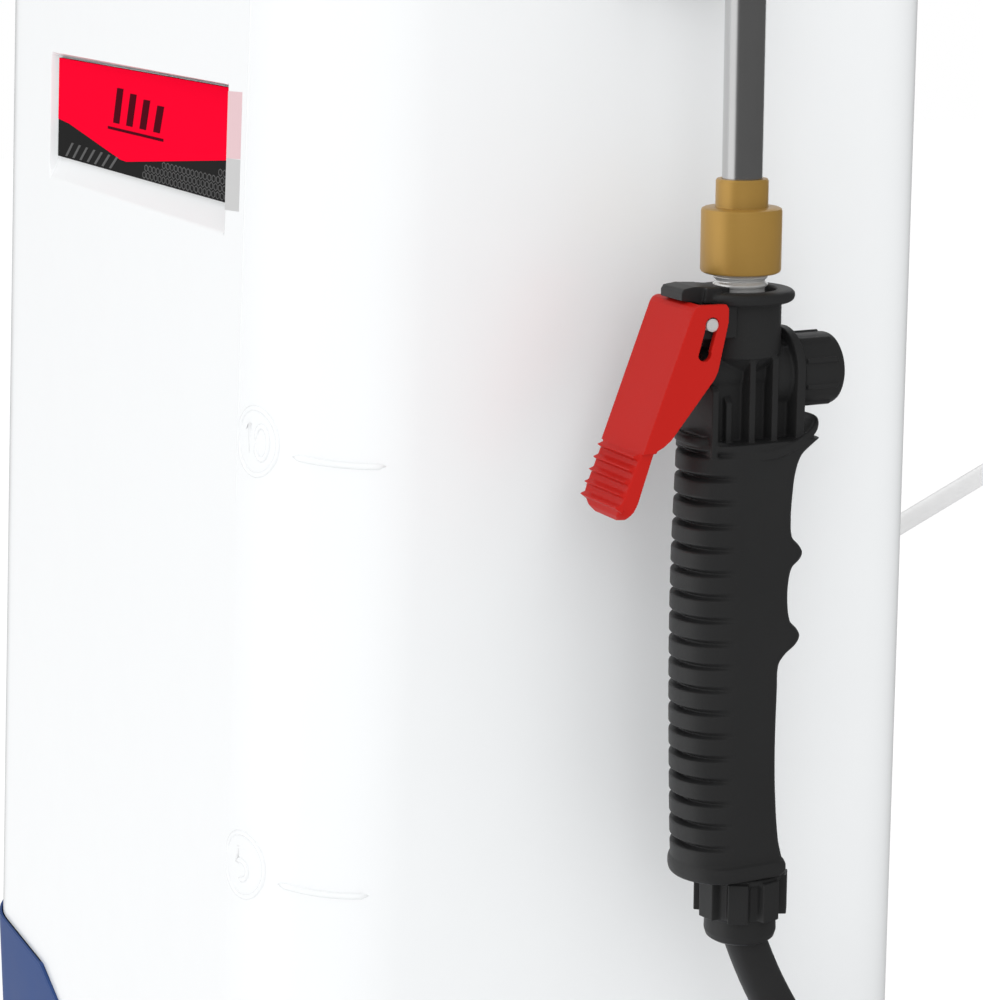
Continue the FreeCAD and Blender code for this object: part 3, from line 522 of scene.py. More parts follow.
def collar_shape():
    """A saddle-shaped collar with a rolled edge, closed above and below."""
    outline = []
    for i in range(96):
        angle = 2 * pi * i / 96
        x = COLLAR_HALF * copysign(abs(cos(angle)) ** 0.8, cos(angle))
        y = sin(angle)
        outline.append((x, COLLAR_Y + (14.2 if y > 0 else 23.6) * y))

    def ring(share, lift):
        made = []
        for x, y in outline:
            side = COLLAR_Y + (y - COLLAR_Y) * share
            made.append((x * share, side, rim_height(side) + lift))
        return made

    rings = [ring(share, -1.5) for share in (0.02, 0.2, 0.4, 0.6, 0.8)]
    for inset, lift in ((0.6, -1.5), (0.12, -1.15), (0.0, 0.0), (0.12, 0.75), (0.5, 1.15)):
        rings.append(ring(1 - inset / COLLAR_HALF, lift))
    rings += [ring(share, 0.9) for share in (0.9, 0.8, 0.6, 0.4, 0.2, 0.02)]
    return lofted(rings)


def handle():
    """The black body of the spray handle, about the middle of the lance nut."""
    flange = lathe([(0, -13.6), (12.6, -13.6), (13.3, -13.1), (13.6, -12.2), (13.5, -11.4), (12.9, -10.8),
                    (12.0, -10.5), (9.4, -10.5), (8.9, -10.9), (8.8, -13.0), (0, -13.0)])
    neck = lathe([(0, -27), (10.3, -27), (10.3, -12.0), (8.8, -12.0), (8.8, -13.5), (0, -13.5)])
    cone = lathe([(0, -31.5), (5.6, -31.5), (10.3, -26.6), (0, -26.6)])
    core = cuboid(-5.4, 5.4, -10.8, 11.5, -50, -25)
    chamber = lathe([(0, -12.6), (5.6, -12.6), (6.2, -12.0), (6.2, 12), (0, 12)],
                    (0, 0, VALVE_Z + 1.5), (0, 1, 0))
    chest = lathe([(0, 5.0), (8.6, 5.0), (8.6, 14.0), (0, 14.0)], (0, 0, VALVE_Z), (0, 1, 0))
    fins = []
    for y, reach, top in ((-11.6, 9.4, -33.0), (-6.6, 7.4, -36.5), (-1.3, 9.6, -26.0), (5.1, 9.6, -26.0)):
        fins.append(prism([(-reach, -51), (reach, -51), (reach, top - 1.4), (reach - 1.6, top),
                           (-reach + 1.6, top), (-reach, top - 1.4)], y - 0.85, y + 0.85, "Y"))
    arch = [(10.6 * cos(radians(a)), VALVE_Z + 1.0 + 10.6 * sin(radians(a)))
            for a in range(0, 181, 6)]
    screen = prism([(10.2, -50)] + arch + [(-10.2, -50)], 10.9, 13.3, "Y")
    lug = lathe([(0, -9.3), (3.8, -9.3), (3.8, 9.3), (0, 9.3)], (0, PIN_Y, PIN_Z), (1, 0, 0), 48)
    bridge = cuboid(-9.3, 9.3, PIN_Y, -6, PIN_Z - 3.8, PIN_Z + 3.8)
    hook = prism([(-6.0, -13.4), (-6.0, -9.6), (-12.6, -9.0), (-15.6, -8.8), (-18.8, -9.2), (-19.4, -10.2),
                  (-19.4, -12.0), (-15.4, -12.8), (-13.4, -13.6)], -5.4, 5.4)
    hook_side = prism([(-9.0, -13.2), (-9.0, -9.4), (-13.2, -9.1), (-13.8, -12.8)], -6.8, 6.8)
    foot_lip = []
    for z, grow in ((-161.6, 0.2), (GRIP_FOOT, 0.9), (-160.2, 1.35), (-158.8, 1.35), (-157.6, 0.9),
                    (-157.0, 0.0)):
        ring = []
        for x, y, _ in grip_ring(z, 10.5, 9.6, 0.0):
            ring.append((x * (1 + grow / GRIP_HALF), y + (grow if y > 6 else grow * 0.4 * copysign(1, y)), z))
        foot_lip.append(ring)
    shapes = [flange, neck, cone, core, chamber, chest, screen, lug, bridge, hook, hook_side, grip_shape(),
              collar_shape(), lofted(foot_lip)] + fins
    made = moulding("handle", from_nut(shapes), "black_plastic", 0.26, 3, 0.45)
    assign(made, "wand", "black_plastic", "handle_body")


TRIGGER_LEAN = radians(21.2)
TRIGGER_SIZE = 0.945                 # about the pin
TRIGGER_HALF = 11.3
CHEEK = 1.8
TONGUE_HALF = 10.3
TIP_ROUND = 7.0
TIP_END = 54.2                       # from the top of the trigger's front, along it
RIDGE_PITCH = 3.25


def trigger_trims(front_top, along, out):
    """What is cut from the trigger: the sides of its tongue, the cheeks' slots and the tip's corners."""
    shoulder_z = PIN_Z + (-49.8 - PIN_Z) * TRIGGER_SIZE
    pin = Vector((0, PIN_Y, PIN_Z))
    slot_turn = 16
    drop = Vector((0, -sin(radians(slot_turn)), -cos(radians(slot_turn)))) * 7.2
    trims = []
    for side in (-1, 1):
        trims.append(prism([(-50, shoulder_z), (-50, -80), (-20, -80), (-20, shoulder_z)],
                           side * TONGUE_HALF, side * 20))
        oval = []
        for centre, first in ((pin, slot_turn), (pin + drop, slot_turn + 180)):
            for k in range(33):
                angle = radians(first) + pi * k / 32
                oval.append(centre + Vector((0, cos(angle), sin(angle))) * 1.85)
        trims.append(prism([(p.y, p.z) for p in oval], side * (TRIGGER_HALF - CHEEK - 0.7), side * 13.5))
        corner = [(TONGUE_HALF + 0.6, TIP_END - TIP_ROUND)]
        for k in range(13):
            angle = pi / 2 * k / 12
            corner.append((TONGUE_HALF - TIP_ROUND + TIP_ROUND * cos(angle),
                           TIP_END - TIP_ROUND + TIP_ROUND * sin(angle)))
        corner += [(-0.5, TIP_END), (-0.5, TIP_END + 9), (TONGUE_HALF + 0.6, TIP_END + 9)]
        rings = []
        for lift in (-9.0, 6.0):
            rings.append([tuple(front_top + along * reach + out * lift + Vector((side * x, 0, 0)))
                          for x, reach in corner])
        trims.append(skin(*rings))
    return trims


def trigger():
    """The hollow trigger with its ridged tongue, and the bright rivet it turns on."""
    def placed(y, z):
        return Vector((0, PIN_Y + (y - PIN_Y) * TRIGGER_SIZE, PIN_Z + (z - PIN_Z) * TRIGGER_SIZE))

    side_view = [(-9.9, -12.4), (-9.1, -13.6), (-9.2, -17.0), (-12.0, -29.5), (-13.0, -31.6), (-25.4, -46.6),
                 (-27.6, -48.3), (-29.5, -49.2), (-30.2, -50.6), (-35.2, -65.2), (-36.4, -67.4), (-38.2, -67.6),
                 (-39.2, -66.0), (-39.3, -63.4), (-33.5, -49.6), (-19.6, -13.8), (-18.8, -12.7), (-17.6, -12.2)]
    cheek = [placed(y, z) for y, z in side_view]
    along = Vector((0, -sin(TRIGGER_LEAN), -cos(TRIGGER_LEAN)))
    out = Vector((0, -cos(TRIGGER_LEAN), sin(TRIGGER_LEAN)))
    blank = prism([(p.y, p.z) for p in cheek], -TRIGGER_HALF, TRIGGER_HALF)
    front_top = placed(-19.6, -13.8)
    wall = 2.0
    top = front_top - out * wall - along * 4
    foot = front_top - out * wall + along * 35.6
    inner = TRIGGER_HALF - CHEEK
    pocket = prism([(top.y, top.z), (foot.y, foot.z), (foot.y + 16, foot.z + 3), (top.y + 40, top.z + 2)],
                   -inner, inner)
    ridges = []
    for step in range(5):
        base = placed(-33.4, -50.4) + along * (RIDGE_PITCH * step)
        corners = (base - along * 1.4 - out * 0.6, base + out * 2.1 + along * 0.9,
                   base + along * 1.7 - out * 0.6)
        ridges.append(prism([(p.y, p.z) for p in corners], 0.8 - TONGUE_HALF, TONGUE_HALF - 0.8))
    made = carved("trigger", from_nut([blank]), from_nut([pocket] + trigger_trims(front_top, along, out)))
    body = ([tuple(Vector(v.co) / MM) for v in made.data.vertices],
            [tuple(p.vertices) for p in made.data.polygons])
    bpy.data.objects.remove(made)
    made = moulding("trigger_skin", [body] + from_nut(ridges), "trigger_red", 0.22, 4)
    assign(made, "trigger", "trigger_red", "trigger")
    reach = TRIGGER_HALF + 0.35
    rivet = lathe([(0, -reach), (1.2, -reach), (1.6, 0.35 - reach), (1.6, reach - 0.35), (1.2, reach),
                   (0, reach)], (0, PIN_Y, PIN_Z), (1, 0, 0), 48)
    made = solid("trigger_rivet", from_nut([rivet]), "bright_steel", 40)
    assign(made, body_of("trigger_pin"), SLOT_OF["trigger_pin"], "trigger_pin")


def lance_fittings():
    """The brass nut under the lance, and the bright adapter whose thread shows below it."""
    nut = lathe([(6.9, -NUT_FOOT), (9.2, -NUT_FOOT), (9.75, -6.4), (10, -5.9), (10, 8.5), (9.8, 9.1),
                 (9.2, 9.4), (6.6, 9.5), (6.5, 9.8), (6.5, 15.9), (6.2, 16.4), (5.05, 16.4), (5.05, 3.4),
                 (6.9, 3.4)], segments=128, loop=True)
    assign(solid("brass_nut", from_nut([nut]), "brass", 30), "lance_nut", "brass", "lance_nut")
    thread = []
    for turn in range(2):
        z = -10.5 + 2.0 * turn
        thread += [(6.1, z), (6.25, z + 0.25), (6.8, z + 0.7), (6.8, z + 1.1), (6.25, z + 1.6), (6.1, z + 1.9)]
    profile = [(3.4, -25.5), (6.75, -25.5), (6.75, -13.0), (6.1, -12.6)] + thread
    profile += [(6.1, -6.4), (6.7, -5.6), (6.7, -0.5), (3.4, -0.5)]
    made = solid("thread", from_nut([lathe(profile, loop=True)]), "bright_steel", 60)
    assign(made, "wand", "brass", "lance_adapter")


def fanned(centre, count, first_angle, section):
    """Outlines of ribs round a centre; the section is (radius, offset) points."""
    outlines = []
    for turn in range(count):
        angle = radians(360 / count * turn + first_angle)
        outlines.append([(centre[0] + r * cos(angle) - a * sin(angle),
                          centre[1] + r * sin(angle) + a * cos(angle)) for r, a in section])
    return outlines


def winged_nut():
    """The union nut at the foot of the grip."""
    barrel = lathe([(0, -162.6), (9.4, -162.6), (10.0, -163.0), (10.0, -173.6), (9.2, -174.6), (9.3, -175.6),
                    (9.4, -178.6), (8.9, -180.2), (7.7, -181.0), (0, -181.0)], (0, HOSE_EXIT_Y, 0))
    crown = lathe([(0, -163.9), (10.8, -163.9), (11.2, -163.5), (11.2, -162.4), (10.8, -162.0), (0, -162.0)],
                  (0, HOSE_EXIT_Y, 0))
    section = ((9.0, -3.0), (12.0, -2.58), (12.0, 2.58), (9.0, 3.0))
    wings = [prism(outline, -173.6, -163.0, "Z") for outline in fanned((0, HOSE_EXIT_Y), 8, 12, section)]
    return [barrel, crown] + wings


def handle_ends():
    """The union nut under the grip, and the ribbed knob behind the valve."""
    nut = moulding("union_nut", from_nut(winged_nut()), "black_plastic", 0.24, 2)
    assign(nut, "hose_nut", "black_plastic", "hose_nut")
    barrel = lathe([(0, 14.0), (9.0, 14.0), (9.2, 14.3), (9.2, 24.6), (8.9, 25.4), (8.2, 25.9), (7.4, 26.0),
                    (0, 26.0)], (0, 0, VALVE_Z), (0, 1, 0))
    section = ((8.8, -0.8), (9.75, -0.55), (9.75, 0.55), (8.8, 0.8))
    ribs = [prism(outline, 14.6, 23.6, "Y") for outline in fanned((0, VALVE_Z), 9, 62, section)]
    knob = moulding("valve_knob", from_nut([barrel] + ribs), "black_plastic", 0.22, 2)
    assign(knob, "valve", "black_plastic", "valve_cap")


handle()
trigger()
lance_fittings()
handle_ends()

# ---- tank
LABEL_X = (-67.0, 90.0)
LABEL_Z = (382.0, 412.0)
LABEL_DEPTH = 5.5
LABEL_SLOPE = 6.0
LABEL_NEAR_SHARE = 0.5               # the far end of the recess is this much shallower
FOOT_ARC = 2.5                       # degrees between the tank's points round the near corner
NECK_Y = -6.0


def front_y(z):
    return FOOT_FRONT_Y + (z - BASE_TOP) * tan(FRONT_LEAN)


def clustered(low_end, high_end, coarse, fine, spots, reach):
    """Positions from low to high, close together within reach of each spot."""
    values = [low_end]
    while values[-1] < high_end:
        near = any(abs(values[-1] - spot) < reach for spot in spots)
        ahead = values[-1] + (fine if near else coarse)
        if not near:
            for spot in spots:
                if values[-1] < spot - reach < ahead:
                    ahead = spot - reach + 0.001
        values.append(min(ahead, high_end))
    return values


def soft_step(value, start, end):
    t = min(1.0, max(0.0, (value - start) / (end - start)))
    return t * t * (3 - 2 * t)


def corner_points(cx, cy, radius, angles, z):
    return [(cx + radius * cos(a), cy + radius * sin(a), z) for a in map(radians, angles)]


def tank_outline(z, inset, front, near_corner, side_steps=11, back_steps=8):
    """Anticlockwise from the middle of the back: far side, front with its label recess, near side, back."""
    x = HALF_WIDTH - inset
    y0 = front + inset
    y1 = BACK_Y - inset
    rf = FRONT_CORNER - inset
    rb = BACK_CORNER - inset
    even = [i / side_steps for i in range(1, side_steps)]
    points = [(-(x - rb) * i / back_steps, y1, z) for i in range(back_steps)]
    points += corner_points(-x + rb, y1 - rb, rb, [90 + 6 * i for i in range(16)], z)
    points += [(-x, y1 - rb + (y0 + rf - y1 + rb) * t, z) for t in even]
    points += corner_points(-x + rf, y0 + rf, rf, [180 + 3 * i for i in range(30)], z)
    for px in near_corner[0]:
        points.append((px * (x - rf) / (HALF_WIDTH - FRONT_CORNER), y0, z))
    points += corner_points(x - rf, y0 + rf, rf, near_corner[1], z)
    points += [(x, y0 + rf + (y1 - rb - y0 - rf) * t, z) for t in even]
    points += corner_points(x - rb, y1 - rb, rb, [6 * i for i in range(16)], z)
    points += [((x - rb) * (1 - i / back_steps), y1, z) for i in range(back_steps)]
    return points


def label_depth(x):
    """The recess gets deeper towards the near corner."""
    share = min(1.0, max(0.0, (x - LABEL_X[0]) / (LABEL_X[1] - LABEL_X[0])))
    return LABEL_DEPTH * (1 - LABEL_NEAR_SHARE * (1 - share))


def recess_depth(x, z):
    """How far the label recess cuts in: steep sides and top, and a lower wall that slopes out."""
    x0 = LABEL_X[0] - 1.6
    x1 = LABEL_X[1] + 0.8
    across = soft_step(x, x0 - 1.0, x0 + 0.4) * (1 - soft_step(x, x1 - 0.2, x1 + 1.2))
    z0 = LABEL_Z[0] - 0.8
    ramp = min(1.0, max(0.0, (z - (z0 - LABEL_SLOPE)) / LABEL_SLOPE))
    upright = ramp * (1 - soft_step(z, LABEL_Z[1] + 0.4, LABEL_Z[1] + 1.8))
    return across * upright


def tank_skin():
    """The blow-moulded tank with its label recess, soft shoulder and open neck."""
    straight = HALF_WIDTH - FRONT_CORNER
    columns = clustered(-straight, straight, 5.0, 0.3, (LABEL_X[0] - 1.9, LABEL_X[1] + 1.3), 1.8)
    columns = columns[:-1]
    angles = [270 + FOOT_ARC * i for i in range(36)]
    levels = clustered(BASE_TOP, TANK_TOP - SHOULDER, 9.0, 0.5, (LABEL_Z[0] - 3.8, LABEL_Z[1] + 1.1), 4.4)
    rings = []
    for z in [BASE_TOP - 0.5] + levels:
        ring = []
        for x, y, _ in tank_outline(z, 0.0, front_y(z), (columns, angles)):
            if y < front_y(z) + 6 and LABEL_Z[0] - 10 < z < LABEL_Z[1] + 4:
                y += (front_y(z) + label_depth(x) - y) * recess_depth(x, z)
            ring.append((x, y, z))
        rings.append(ring)
    for i in range(1, 17):
        bend = pi / 2 * i / 16
        inset = SHOULDER * (1 - cos(bend))
        z = TANK_TOP - SHOULDER + SHOULDER * sin(bend)
        rings.append(tank_outline(z, inset, front_y(z), (columns, angles)))
    last = rings[-1]
    profile = [(61.5, 485.0), (59.3, 485.5), (58.2, 486.6), (58.0, 488.2), (57.2, 489.0), (54.8, 489.4),
               (54.0, 490.4), (54.0, 511.2), (53.2, 512.0), (50.8, 512.0), (50.0, 511.2), (50.0, 481.5)]
    for share in (0.3, 0.65):
        ring = []
        for x, y, z in last:
            angle = atan2(y - NECK_Y, x)
            rx = profile[0][0] * cos(angle)
            ry = NECK_Y + profile[0][0] * sin(angle)
            ring.append((x + (rx - x) * share, y + (ry - y) * share, TANK_TOP))
        rings.append(ring)
    for radius, z in profile:
        rings.append([(radius * cos(a), NECK_Y + radius * sin(a), z)
                      for a in (atan2(p[1] - NECK_Y, p[0]) for p in last)])
    vertices, faces = lofted(rings, False)
    count = len(last)
    faces.append(tuple(range(count - 1, -1, -1)))
    made = link("tank", mesh_from("tank", [(vertices, faces)]), MATERIALS["tank_white"])
    wall = made.modifiers.new("wall", "SOLIDIFY")
    wall.thickness = 3.4 * MM
    wall.offset = -1
    settle(made)
    shade(made.data, 40)
    assign(made, "tank", "tank_white", "tank_shell")


def on_corner(angle, z, lift):
    """A point on the rounded near corner; angle runs from +X towards the front."""
    a = radians(-angle)
    cx = HALF_WIDTH - FRONT_CORNER
    cy = front_y(z) + FRONT_CORNER
    return (cx + (FRONT_CORNER + lift) * cos(a), cy + (FRONT_CORNER + lift) * sin(a), z)


def relief(line, radius=0.95, lift=-0.35):
    """A low rounded ridge along (angle, z) points on the near corner."""
    return swept([on_corner(a, z, lift) for a, z in line],
                 lambda t: radius * min(1.0, 8 * t + 0.35, 8 * (1 - t) + 0.35), 12)


MARK_ANGLE = 75.0
MARK_RADIUS = 8.6
DIGIT_SIZE = 8.6


def degrees_of(length):
    return degrees(length / FRONT_CORNER)


def digit(name, angle, z):
    """The strokes of a plain numeral as (angle, z) lines."""
    w = degrees_of(DIGIT_SIZE * 0.3)
    h = DIGIT_SIZE / 2
    if name == "0":
        turns = (pi * 2 * i / 20 for i in range(21))
        return [[(angle + w * cos(t), z + h * sin(t)) for t in turns]]
    if name == "1":
        return [[(angle + w * 0.9, z + h * 0.55), (angle, z + h), (angle, z - h)]]
    bowl = [(angle + w * 0.2 - w * 1.1 * sin(t), z - h * 0.36 + h * 0.6 * cos(t))
            for t in (radians(-35 + 14 * i) for i in range(18))]
    return [[(angle - w, z + h), (angle + w * 0.8, z + h), (angle + w * 0.9, z + h * 0.05)] + bowl]


def level_marks():
    """The raised 5 and 10 litre marks, each a numeral in a circle with a line, and the seam above them."""
    shapes = []
    for litres, z in (("5", 212.0), ("10", 325.0)):
        turns = (2 * pi * i / 48 for i in range(49))
        circle = [(MARK_ANGLE + degrees_of(MARK_RADIUS * cos(t)), z + MARK_RADIUS * sin(t))
                  for t in turns]
        shapes.append(relief(circle, 0.8))
        for place, name in enumerate(litres):
            offset = degrees_of((place - (len(litres) - 1) / 2) * 5.2)
            shapes += [relief(stroke, 0.85) for stroke in digit(name, MARK_ANGLE - offset, z)]
        start = MARK_ANGLE - degrees_of(MARK_RADIUS + 4.5)
        line = [(start - degrees_of(25.0 * i / 12), z - 2.2 - 1.6 * sin(pi * 0.5 * i / 12))
                for i in range(13)]
        shapes.append(relief(line))
    shapes.append(relief([(90.0, 300.0 + 10 * i) for i in range(17)], 0.7, -0.5))
    assign(solid("level_marks", shapes, "tank_white", None), "tank", "tank_white")


def label_sheet(name, outlines, material, proud, slot="label", nodes=()):
    """Flat printed shapes on the label, given as (x, z) outlines, thick enough to have an edge."""
    shapes = []
    for outline in outlines:
        shapes.append(skin(*[[(x, front_y(z) + label_depth(x) - lift, z) for x, z in outline]
                             for lift in (0.0, proud)]))
    assign(solid(name, shapes, material, 30), "tank", slot, *nodes)


def hexagon(cx, cz):
    """The six sides of a flat printed cell."""
    sides = []
    for k in range(6):
        near, far = [(cos(radians(t)), sin(radians(t))) for t in (60 * k + 30, 60 * k + 90)]
        sides.append([(cx + across * x, cz + up * z) for (x, z), across, up in
                      ((near, 1.55, 1.05), (far, 1.55, 1.05), (far, 1.25, 0.82), (near, 1.25, 0.82))])
    return sides


def label():
    """A plain printed label: red over black, with four slanted bars and a line in place of any name."""
    x0, x1 = LABEL_X
    z0, z1 = LABEL_Z
    width = x1 - x0
    height = z1 - z0

    def at(u, v):
        return x0 + width * u, z0 + height * v

    valley = [at(0, 0.38), at(0.07, 0.355), at(0.385, 0.13), at(0.42, 0.125), at(1, 0.40)]
    card = [at(0, 0), at(1, 0), at(1, 1), at(0, 1)]
    label_sheet("label_card", [card], "label_black", 0.9, nodes=["label_plate"])
    label_sheet("label_red", [valley + [at(1, 1), at(0, 1)]], "label", 1.0)
    streaks = []
    for i in range(7):
        u = 0.05 + 0.045 * i
        v = 0.17 - 0.004 * i
        streaks.append([at(u, 0.02), at(u + 0.012, 0.02), at(u + 0.052, v), at(u + 0.04, v)])
    cells = []
    pitch = 3.3
    for row in range(4):
        for column in range(26):
            cx = x0 + width * 0.52 + pitch * (column + 0.5 * (row % 2))
            cz = z0 + 1.4 + pitch * 0.62 * row
            top = z0 + height * (0.20 + 0.125 * (cx - x0 - width * 0.47) / (width * 0.53))
            if cz + 1.5 <= top and cx <= x1 - 2:
                cells += hexagon(cx, cz)
    lip = x1 + 1.9
    split = z0 + height * 0.43
    for name, low_z, high_z in (("lip_pink", split, z1), ("lip_grey", z0 - 0.4, split)):
        plate = [(lip, low_z), (lip + 10.5, low_z + 0.6), (lip + 10.5, high_z + 0.4), (lip, high_z)]
        label_sheet(name, [plate], name, LABEL_DEPTH + 0.05, "tank_white")
    label_sheet("label_streaks", streaks + cells, "label_grey", 1.05)
    bars = []
    for i in range(4):
        u = 0.34 + 0.075 * i
        tall = 0.34 - 0.03 * i
        bars.append([at(u, 0.47), at(u + 0.035, 0.47), at(u + 0.055, 0.47 + tall), at(u + 0.02, 0.47 + tall)])
    bars.append([at(0.31, 0.40), at(0.62, 0.40), at(0.62, 0.425), at(0.31, 0.425)])
    label_sheet("label_bars", bars, "label_mark", 1.1)


tank_skin()
level_marks()
label()


# ---- base
BELT_TOP = 120.0
BELT_LOW = 104.0
BELT_DIP_X = 62.0
BELT_DIP_Y = 26.0
SKIN_PROUD = 0.3                     # how far the finished skin stands over the CAD base
LEVER_PIVOT = Vector((-165.5, -28, 69))
LEVER_RISE = radians(23.5)


def belt_top(x, y):
    """The base wraps up round the tank's foot, high at the corners with a dip in every wall."""
    run = 3 * (BELT_TOP - BELT_LOW)
    across = (abs(x) - BELT_DIP_X) / run + 1
    lengthwise = max(FOOT_FRONT_Y + BELT_DIP_Y - y, y - BACK_Y + BELT_DIP_Y) / run + 1
    share = min(1.0, max(0.0, min(across, lengthwise)))
    return BELT_LOW + (BELT_TOP - BELT_LOW) * share


def base():
    """Blue foot: a rounded lower edge, a shallow panel line and a rim that wraps up round the tank."""
    straight = HALF_WIDTH - FRONT_CORNER
    columns = [-straight + straight * 2 * i / 70 for i in range(70)]
    angles = [270 + 3 * i for i in range(30)]

    def outline(z, inset):
        return tank_outline(z, inset, FOOT_FRONT_Y, (columns, angles), 46, 34)

    rings = []
    for inset, z in ((4.2, 0.0), (2.2, 0.05), (0.9, 0.6), (0.2, 1.6), (-SKIN_PROUD, 3.2), (-SKIN_PROUD, 11.0),
                     (0.5, 11.6), (0.5, 12.8), (-SKIN_PROUD, 13.4), (-SKIN_PROUD, 98.0)):
        rings.append(outline(z, inset))
    for inset, drop in ((-SKIN_PROUD, 1.3), (-0.2, 0.5), (0.1, 0.1), (0.6, 0.0), (2.6, 0.0)):
        rings.append([(x, y, belt_top(x, y) - drop) for x, y, _ in outline(0, inset)])
    for inset, z in ((2.6, 96.0), (8.0, 96.0), (8.0, 94.0), (4.2, 94.0)):
        rings.append(outline(z, inset))
    shell = lofted(rings + rings[:1], False)
    assign(solid("base", [shell], "base_blue", 40), "tank", "base_blue")
    collar = lathe([(8.2, 0), (16.2, 0), (16.8, -0.6), (17.0, -1.2), (17.0, -3.0), (8.2, -3.0)],
                   (-HALF_WIDTH - 2.6, LEVER_PIVOT.y, LEVER_PIVOT.z), (-1, 0, 0), 64, True)
    assign(solid("shaft_collar", [collar], "base_blue", 40), "tank", "base_blue")


def lever():
    """The bright lever arm and its ribbed grip."""
    reach = Vector((0, cos(LEVER_RISE), sin(LEVER_RISE)))
    softened("lever_arm", 0.7, 3, 0.3, "zinc")
    profile = [(4.3, 403.8), (10.5, 404.0), (12.2, 405.0), (12.9, 407.0), (12.9, 410.0)]
    for i in range(16):
        start = 414.0 + 6.2 * i
        profile += [(12.9, start), (12.0, start + 0.7), (11.8, start + 1.3), (12.0, start + 1.9),
                    (12.9, start + 2.6)]
    profile += [(12.9, 518.0), (12.8, 520.5), (11.4, 523.0), (8.5, 523.9), (0, 524.0), (0, 518.2), (4.3, 518.2)]
    grip = lathe(profile, LEVER_PIVOT, reach, 72, True)
    made = solid("lever_handle", [grip], "black_plastic", 50)
    assign(made, "lever", SLOT_OF["lever_grip"], "lever_grip")


def strip(path, x, width, thick, edge, crown=0.0, groove=0.0):
    """A flat strap along (y, z) points at x, with rounded edges; crown swells its outer face."""
    half = width / 2
    steps = 28
    section = []
    for i in range(steps + 1):
        a = -half + width * i / steps
        swell = crown * (1 - (abs(a) / half) ** 4)
        seam = groove * exp(-((half - abs(a) - 5.0) / 1.3) ** 2)
        rim = edge * (1 - sqrt(max(0.0, 1 - max(0.0, (abs(a) - half + edge) / edge) ** 2)))
        section.append((a, thick + swell - seam - rim, rim * 0.8))
    rings = []
    last = len(path) - 1
    for k, (y, z) in enumerate(path):
        y0, z0 = path[max(k - 1, 0)]
        y1, z1 = path[min(k + 1, last)]
        length = hypot(y1 - y0, z1 - z0)
        ny, nz = -(z1 - z0) / length, (y1 - y0) / length
        end = min(k, last - k) / 3.0
        plain = crown == 0 or end >= 1
        flat = 1.0 if plain else 0.55 + 0.45 * sin(pi / 2 * end)
        slim = 1 if plain else 0.93 + 0.07 * end
        around = [(a, outer) for a, outer, _ in section] + [(a, inner) for a, _, inner in reversed(section)]
        rings.append([(x + a * slim, y + ny * b * flat, z + nz * b * flat) for a, b in around])
    return lofted(rings)


def smooth_path(points, step):
    """A line of points through the given ones, evenly spaced, without corners."""
    path = [Vector((0, y, z)) for y, z in points]
    for _ in range(4):
        finer = [path[0]]
        for a, b in zip(path, path[1:]):
            finer += [a * 0.75 + b * 0.25, a * 0.25 + b * 0.75]
        path = finer + [path[-1]]
    spaced = [path[0]]
    for spot in path:
        if (spot - spaced[-1]).length >= step:
            spaced.append(spot)
    spaced[-1] = path[-1]
    return [(p.y, p.z) for p in spaced]


def quilt(name, x0, x1, z0, z1, foot_y, thick, channels):
    """A foam back pad: crowned, pulled in between its corners, with sewn channels and a piped edge."""
    columns = 86
    rows = 146
    wide = columns + 1
    rim_height = 4.2
    cx = (x0 + x1) / 2
    cz = (z0 + z1) / 2
    hx = (x1 - x0) / 2
    hz = (z1 - z0) / 2
    front = []
    back = []
    for j in range(rows + 1):
        v = -1 + 2 * j / rows
        for i in range(wide):
            u = -1 + 2 * i / columns
            corner = 1 - 0.045 * (abs(u) ** 8) * (abs(v) ** 8)
            x = cx + hx * u * (1 - 0.016 * (1 - v * v) * abs(u) ** 3) * corner
            z = cz + hz * v * (1 - 0.012 * (1 - u * u) * abs(v) ** 3) * corner
            edge = min(hx * (1 - abs(u)), hz * (1 - abs(v)))
            dome = 1 - exp(-edge / 7.0)
            height = rim_height + (thick - rim_height) * dome * (1 - 0.10 * u * u)
            for line_z in channels:
                height -= 4.4 * exp(-(abs(z - line_z) / 2.6) ** 2) * dome
            height += 0.35 * sin(x * 0.31 + 1.7 * sin(z * 0.11)) * sin(z * 0.23) * dome
            piping = 1.6 * exp(-((edge - 2.2) / 1.5) ** 2)
            front.append((x, foot_y + max(height + piping, 1.5) * (1 if edge > 0 else 0.55), z))
            back.append((x, foot_y + (0.0 if edge > 0 else 1.2), z))
    size = wide * (rows + 1)
    faces = []
    for j in range(rows):
        for i in range(columns):
            a = j * wide + i
            quad = (a, a + 1, a + wide + 1, a + wide)
            faces.append(quad)
            faces.append(tuple(size + q for q in reversed(quad)))
    rim = list(range(wide))
    rim += [j * wide + columns for j in range(1, rows + 1)]
    rim += [rows * wide + i for i in range(columns - 1, -1, -1)]
    rim += [j * wide for j in range(rows - 1, 0, -1)]
    for a, b in zip(rim, rim[1:] + rim[:1]):
        faces.append((b, a, a + size, b + size))
    return solid(name, [(front + back, faces)], "pad_fabric", None)


STRAP_X = 50.0


def behind(points, step=3.0):
    """A smooth strap line through points given as (distance behind the tank, height)."""
    return smooth_path([(BACK_Y + y, z) for y, z in points], step)


